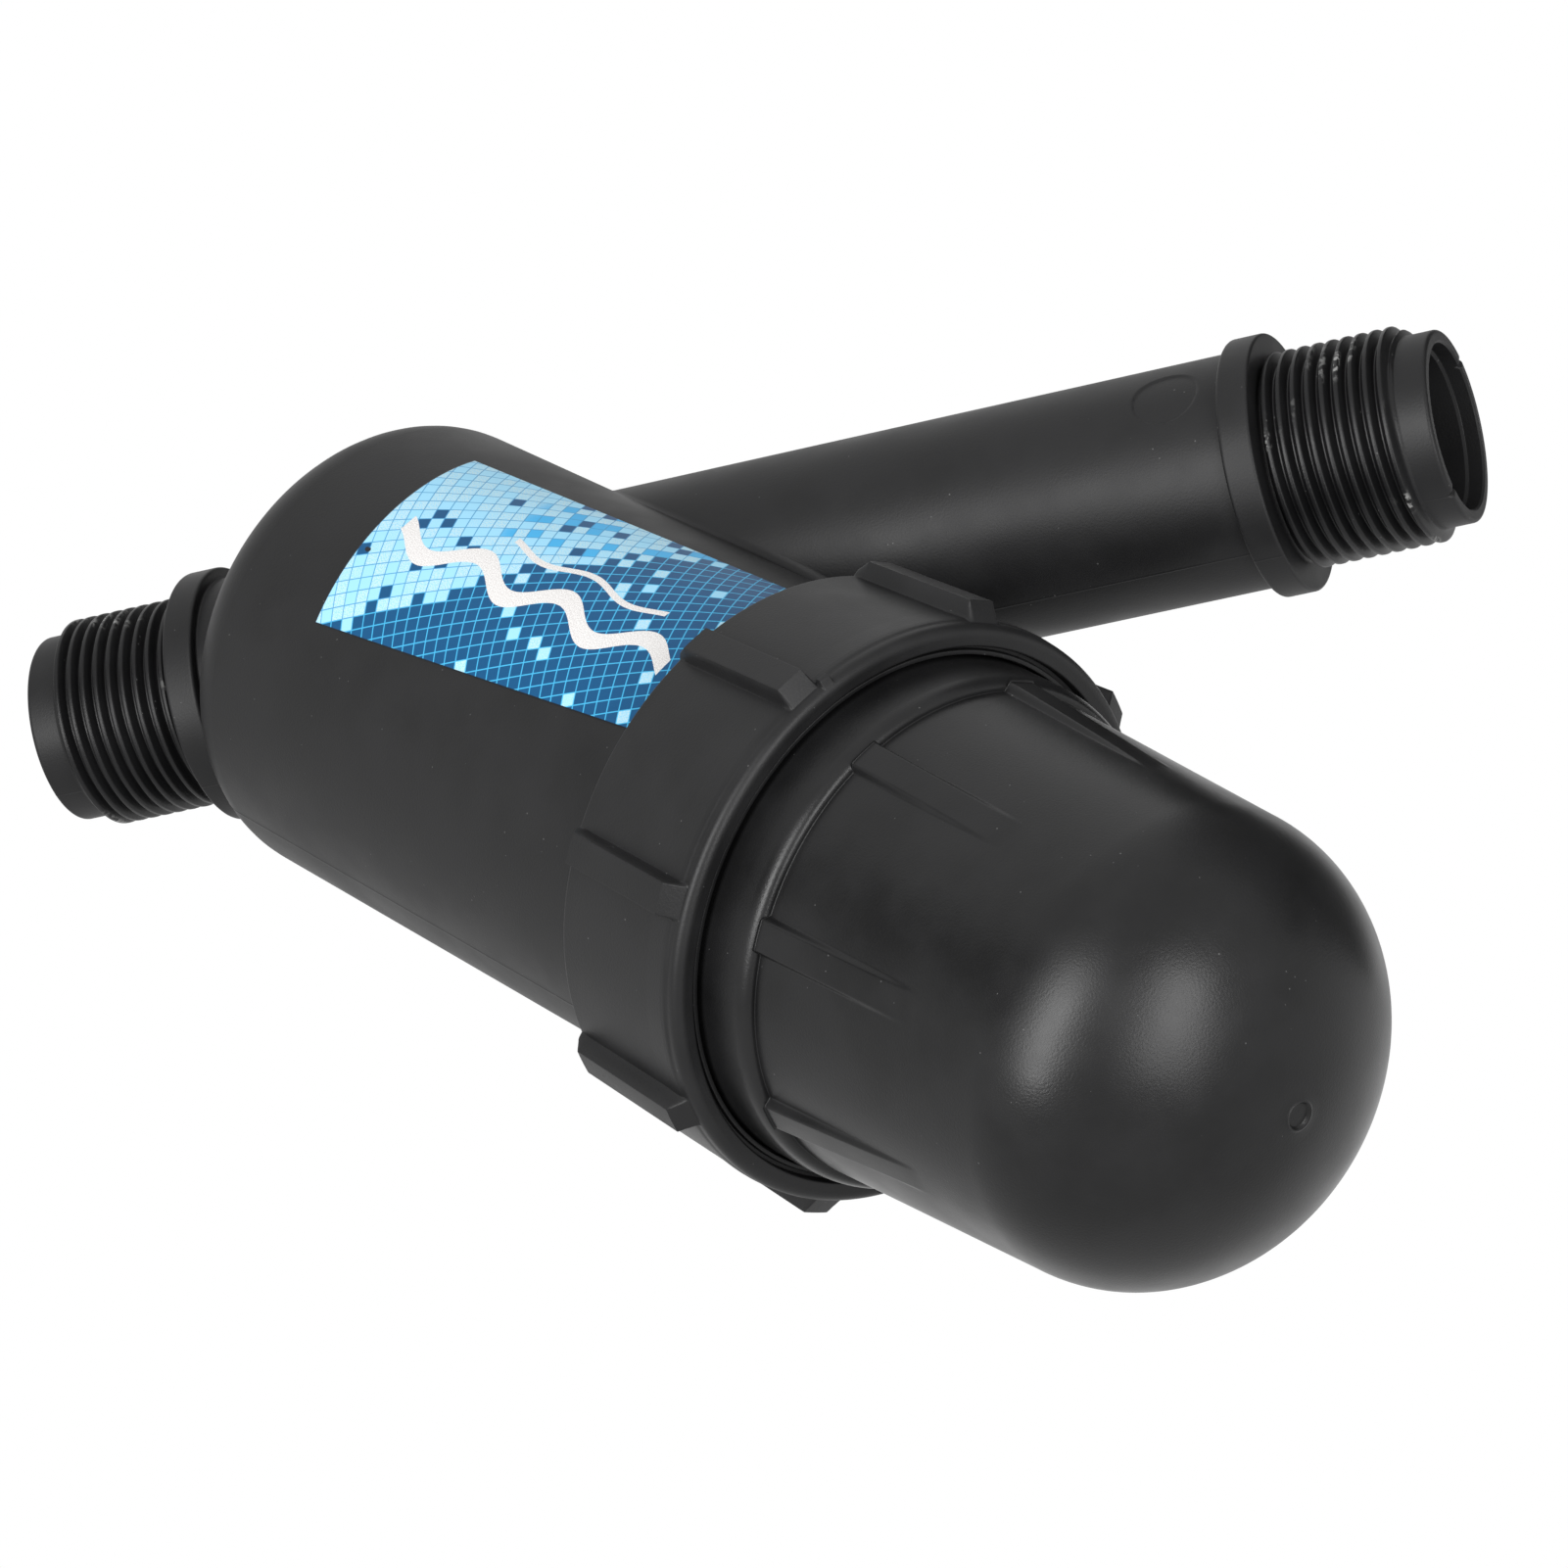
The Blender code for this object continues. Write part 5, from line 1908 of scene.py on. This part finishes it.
@dataclass(frozen=True)
class DiscCartridge:
    """Grooved filter discs on a slotted spine, closed by a screwed clamp cap."""

    disc_count: int = 36
    stack_start: float = 27.63 * MM
    disc_pitch: float = 2.6 * MM
    leaves: int = 3
    leaf_thickness: float = 0.74 * MM
    leaf_pitch: float = 0.78 * MM
    disc_radius: float = 19.0 * MM
    disc_bore: float = 13.5 * MM
    groove_depth: float = 0.07 * MM
    groove_count: int = 36
    spine: Span = (10.4 * MM, 12.9 * MM)
    spigot: Span = (8.5 * MM, 11.1 * MM)
    base_radius: float = 18.6 * MM
    tip: float = 11.3 * MM
    base: Span = (24.3 * MM, 27.3 * MM)
    spine_stop: float = 127.2 * MM
    seal: Ring = Ring(15.3 * MM, 10.75 * MM, 1.12 * MM)
    seal_groove: Corner = (9.9 * MM, 14.0 * MM, 16.6 * MM)
    window_count: int = 3
    window_share: float = 0.55
    window_reach: Span = (8.0 * MM, 16.0 * MM)
    window_span: Span = (31.6 * MM, 117.0 * MM)
    window_steps: int = 16
    cap_rim: float = 18.6 * MM
    cap_bore: float = 13.2 * MM
    cap_hub: float = 15.6 * MM
    cap_flange: Span = (121.2 * MM, 123.8 * MM)
    cap_end: Span = (127.5 * MM, 129.9 * MM)
    cap_top: float = 128.5 * MM
    wing_count: int = 4
    wing_half: float = 1.2 * MM
    wing_edge: float = 0.5 * MM
    wing_radius: float = 16.0 * MM
    wing_height: float = 1.55 * MM

    def disc(self, index: int) -> Surface:
        """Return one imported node's discs: thin rings with the ends of their grooves at the rim.

        The rim's radius dips with the cosine of the angle times the number of grooves.

        Args:
            index: Number of the node, from 0.

        Returns:
            The closed surfaces of its leaves in one.
        """
        angles = spread_angles(self.groove_count * 4)
        dip = 0.5 + 0.5 * np.cos(self.groove_count * angles[None, :])
        parts = []
        for leaf in range(self.leaves):
            rear = self.stack_start + index * self.disc_pitch + leaf * self.leaf_pitch
            front = rear + self.leaf_thickness
            corners = [
                (self.disc_bore, rear, 0.15 * MM),
                (self.disc_bore, front, 0.15 * MM),
                (self.disc_radius, front, 0.18 * MM),
                (self.disc_radius, rear, 0.18 * MM),
            ]
            line = rounded(corners, arc_steps=2)
            rim = smooth_step((line[:, :1] - self.disc_radius) / (0.3 * MM) + 1.0)
            parts.append(turned(BARREL_AXIS, line, angles, -self.groove_depth * dip * rim))
        return joined(parts)

    def core(self) -> Surface:
        """Return the core: spigot, base flange and spine in one turned piece.

        Returns:
            The closed surface, without its windows.
        """
        inner, outer = self.spine
        floor, groove_rear, groove_front = self.seal_groove
        corners = [
            (self.spigot[0], self.tip, 0.3 * MM),
            (self.spigot[0], self.base[0], 0.5 * MM),
            (inner, self.base[1] + 2.0 * MM, 0.5 * MM),
            (inner, self.spine_stop, 0.3 * MM),
            (outer, self.spine_stop, 0.5 * MM),
            (outer, self.base[1], 0.4 * MM),
            (self.base_radius, self.base[1], 0.4 * MM),
            (self.base_radius, self.base[0], 0.4 * MM),
            (self.spigot[1], self.base[0], 0.5 * MM),
            (self.spigot[1], groove_front, 0.1 * MM),
            (floor, groove_front, 0.1 * MM),
            (floor, groove_rear, 0.1 * MM),
            (self.spigot[1], groove_rear, 0.1 * MM),
            (self.spigot[1], self.tip, 0.5 * MM),
        ]
        return turned(BARREL_AXIS, rounded(corners), spread_angles(120))

    def window_tools(self) -> list[Item]:
        """Return blocks that cut the long windows through the spine.

        Returns:
            The blocks.
        """
        (low, high), (rear, front) = self.window_reach, self.window_span
        radius, station = np.array([low, high, high, low]), np.array([rear, rear, front, front])
        width = TURN * self.window_share / self.window_count
        steps = np.linspace(-0.5, 0.5, self.window_steps + 1)[:, None] * width
        ends = np.array([[0, 1, 2, 3], [3, 2, 1, 0]])
        ends[1] += 4 * self.window_steps
        tools = []
        for index, middle in enumerate(centre_angles(self.window_count, QUARTER)):
            block = grid_surface(BARREL_AXIS.place(radius, middle + steps, station), False)
            block.faces = np.concatenate([block.faces, ends])
            tools.append(make_mesh(f"spine_window_{index}", block))
        return tools

    def cap(self) -> Surface:
        """Return the clamp cap, with four grip wings as a lift of its hub's wall.

        Returns:
            The closed surface.
        """
        half, edge = self.wing_half / self.wing_radius, self.wing_edge / self.wing_radius
        centres = centre_angles(self.wing_count, 0.0)
        angles = spread_angles(144, [bump_angles(centres, half, edge, 9)])
        (rear, front), (inner_end, end) = self.cap_flange, self.cap_end
        corners = [
            (0.0, inner_end, 0.0),
            (self.cap_bore, inner_end, 0.2 * MM),
            (self.cap_bore, rear, 0.2 * MM),
            (self.cap_rim, rear, 0.3 * MM),
            (self.cap_rim, front, 0.3 * MM),
            (self.cap_hub, front, 0.3 * MM),
            (self.cap_hub, self.cap_top, 0.0),
            (self.cap_hub, end, 0.5 * MM),
            (0.0, end, 0.0),
        ]
        line = rounded(corners, closed=False)
        radius, station = line[:, :1], line[:, 1:]
        hub = (np.abs(radius - self.cap_hub) < 0.3 * MM) & (station > front + 0.1 * MM)
        wing = self.wing_height * hub * smooth_step((end - 0.3 * MM - station) / (1.6 * MM))
        lift = wing * plateau(nearest_offset(angles, self.wing_count, 0.0), half, edge)
        return turned(BARREL_AXIS, line, angles, lift, closed=False)

    def build(self, palette: Palette) -> None:
        """Build the discs, the core, its seal and the cap, each on its body.

        Args:
            palette: Palette that holds the materials.
        """
        for index in range(self.disc_count):
            disc = make_mesh(f"disc_leaves_{index + 1:02d}", self.disc(index))
            node = f"filter_disc_{index + 1:02d}"
            fit_piece(disc, Body.CARTRIDGE, node, palette.get(Finish.DISC))
        core = make_mesh("disc_spine", self.core())
        cut_away(core, self.window_tools())
        plastic, rubber = palette.get(Finish.CORE), palette.get(Finish.RUBBER)
        fit_piece(core, Body.CARTRIDGE, "cartridge_core", plastic)
        seal = make_mesh("spigot_seal_ring", self.seal.surface())
        fit_piece(seal, Body.CARTRIDGE, "cartridge_seal", rubber)
        cap = make_mesh("clamp_cap_hub", self.cap())
        fit_piece(cap, Body.CLAMP_CAP, "clamp_cap", plastic)


@dataclass(frozen=True)
class Lamp:
    """Soft rectangular lamp, with its directions in the camera's axes."""

    name: str
    towards: Corner
    upright: Corner
    size: Span
    power: float


@dataclass(frozen=True)
class Card:
    """Plain dark card that only reflections see, with its direction in the camera's axes."""

    name: str
    towards: Corner
    half: float
    grey: float
    distance: float = 1.5


@dataclass(frozen=True)
class Studio:
    """White surroundings, soft lamps and the camera at the photographed angle."""

    place: Corner = (0.43126, -0.64270, -0.70293)
    right: Corner = (0.92219, 0.37505, 0.09430)
    up: Corner = (0.19266, -0.65699, 0.72887)
    back: Corner = (0.33532, -0.65399, -0.67813)
    lens: float = 189.13
    sensor: float = 36.0
    view_end: float = 20.0
    centre: Corner = (0.09, 0.0, -0.035)
    floor: float = -1.35
    ground_half: float = 60.0
    floor_grey: float = 0.92
    floor_glow: float = 0.7
    reach: float = 1.1
    soft: float = 0.42
    lamps: tuple[Lamp, ...] = (
        Lamp("left_lamp", (-0.56, 0.02, 0.82), (0.40, 0.90, 0.20), (0.30, 1.00), 13.6),
        Lamp("right_lamp", (0.44, 0.00, 0.90), (0.20, 0.95, 0.0), (0.46, 0.74), 8.8),
    )
    cards: tuple[Card, ...] = (
        Card("upper_card", (0.64, 0.62, -0.42), 0.85, 0.10),
        Card("side_card", (-0.90, 0.34, 0.30), 0.35, 0.20),
    )

    def direction(self, parts: Corner) -> Vector:
        """Return a unit direction given in the camera's own axes."""
        axes = (Vector(self.right), Vector(self.up), Vector(self.back))
        return sum((axis * part for axis, part in zip(axes, parts)), Vector()).normalized()

    def put(self, name: str, data: bpy.types.ID, place: Vector, axes: Sequence[Vector]) -> Item:
        """Put an object in the scene at a place, turned to three axes.

        Args:
            name: Name of the object.
            data: Its camera or lamp data.
            place: Where it stands.
            axes: Its own three axes.

        Returns:
            The object.
        """
        item = bpy.data.objects.new(name, data)
        turn = Matrix(axes).transposed().to_4x4()
        item.matrix_world = Matrix.Translation(place) @ turn
        bpy.context.scene.collection.objects.link(item)
        return item

    def camera(self) -> None:
        """Place the camera with the axes and lens found from the photographed edges."""
        data = bpy.data.cameras.new("view_camera")
        data.lens, data.sensor_width, data.clip_end = self.lens, self.sensor, self.view_end
        axes = (self.right, self.up, self.back)
        bpy.context.scene.camera = self.put("view_camera", data, self.place, axes)

    def light(self, lamp: Lamp) -> None:
        """Place one soft lamp that faces the filter, with its height along a direction.

        Args:
            lamp: The lamp.
        """
        data = bpy.data.lights.new(lamp.name, "AREA")
        data.shape = "RECTANGLE"
        data.size, data.size_y = lamp.size
        data.energy = lamp.power
        towards = self.direction(lamp.towards)
        sideways = self.direction(lamp.upright).cross(towards).normalized()
        place = Vector(self.centre) + towards * self.reach
        self.put(lamp.name, data, place, (sideways, towards.cross(sideways), towards))

    def surroundings(self) -> None:
        """Make the world white to the camera and to reflections, and soft grey otherwise."""
        world = bpy.data.worlds.new("white_room")
        world.use_nodes = True
        bpy.context.scene.world = world
        world.node_tree.nodes.clear()
        graph = Graph(world.node_tree)
        plain = rgba((1.0, 1.0, 1.0))
        white = graph.add("Background", None, Color=plain, Strength=1.0)
        soft = graph.add("Background", None, Color=plain, Strength=self.soft)
        graph.add("OutputWorld", None, Surface=graph.blend(graph.seen(), soft, white))

    def plain_surface(self, name: str, grey: float) -> tuple[Material, Graph, Node]:
        """Return a plain matte grey material, with its Graph and its shader.

        Args:
            name: Name of the material.
            grey: How pale it is.

        Returns:
            The material, its Graph and its shader.
        """
        material, graph, shader = new_material(name)
        graph.fill(shader, Base_Color=rgba((grey, grey, grey)), Roughness=0.9)
        return material, graph, shader

    def sheet(self, name: str, middle: Vector, sides: Sequence[Vector], material: Material) -> Item:
        """Stage a square sheet with a middle and two half sides.

        Args:
            name: Name of the sheet.
            middle: Its middle.
            sides: Two vectors from its middle to its sides.
            material: Its material.

        Returns:
            The sheet.
        """
        signs = ((-1, -1), (1, -1), (1, 1), (-1, 1))
        points = np.array([middle + sides[0] * i + sides[1] * j for i, j in signs])
        item = make_mesh(name, Surface(points, np.array([[0, 1, 2, 3]])))
        item.data.materials.append(material)
        return item

    def card(self, card: Card) -> None:
        """Stand a card out of the camera's view, for the reflections on one side.

        Args:
            card: The card.
        """
        towards = self.direction(card.towards)
        sideways = towards.orthogonal().normalized()
        sides = (sideways * card.half, towards.cross(sideways) * card.half)
        middle = Vector(self.centre) + towards * card.distance
        material = self.plain_surface(f"{card.name}_grey", card.grey)[0]
        item = self.sheet(card.name, middle, sides, material)
        item.visible_camera = False
        item.visible_diffuse = False

    def ground(self) -> None:
        """Lay a plain pale floor well below the filter."""
        material, graph, matte = self.plain_surface("pale_floor", self.floor_grey)
        share = graph.math("MULTIPLY", graph.seen(), self.floor_glow)
        glow = graph.add("Emission", None, Color=rgba((1.0, 1.0, 1.0)), Strength=1.0)
        out = graph.tree.nodes["Material Output"]
        graph.fill(out, Surface=graph.blend(share, matte, glow))
        half = self.ground_half
        sides = (Vector((half, 0.0, 0.0)), Vector((0.0, half, 0.0)))
        self.sheet("studio_floor", Vector((0.0, 0.0, self.floor)), sides, material)

    def build(self) -> None:
        """Set up the whole studio."""
        bpy.context.scene.view_settings.view_transform = "Standard"
        self.surroundings()
        self.ground()
        self.camera()
        for lamp in self.lamps:
            self.light(lamp)
        for card in self.cards:
            self.card(card)
        LOG.info("studio ready")


def main() -> None:
    """Build every piece and the studio."""
    logging.basicConfig(level=logging.INFO, format="%(message)s")
    palette = Palette()
    for assembly in (Housing(), Label(), UnionNut(), Bowl(), DiscCartridge()):
        assembly.build(palette)
    Studio().build()


if __name__ == "__main__":
    main()
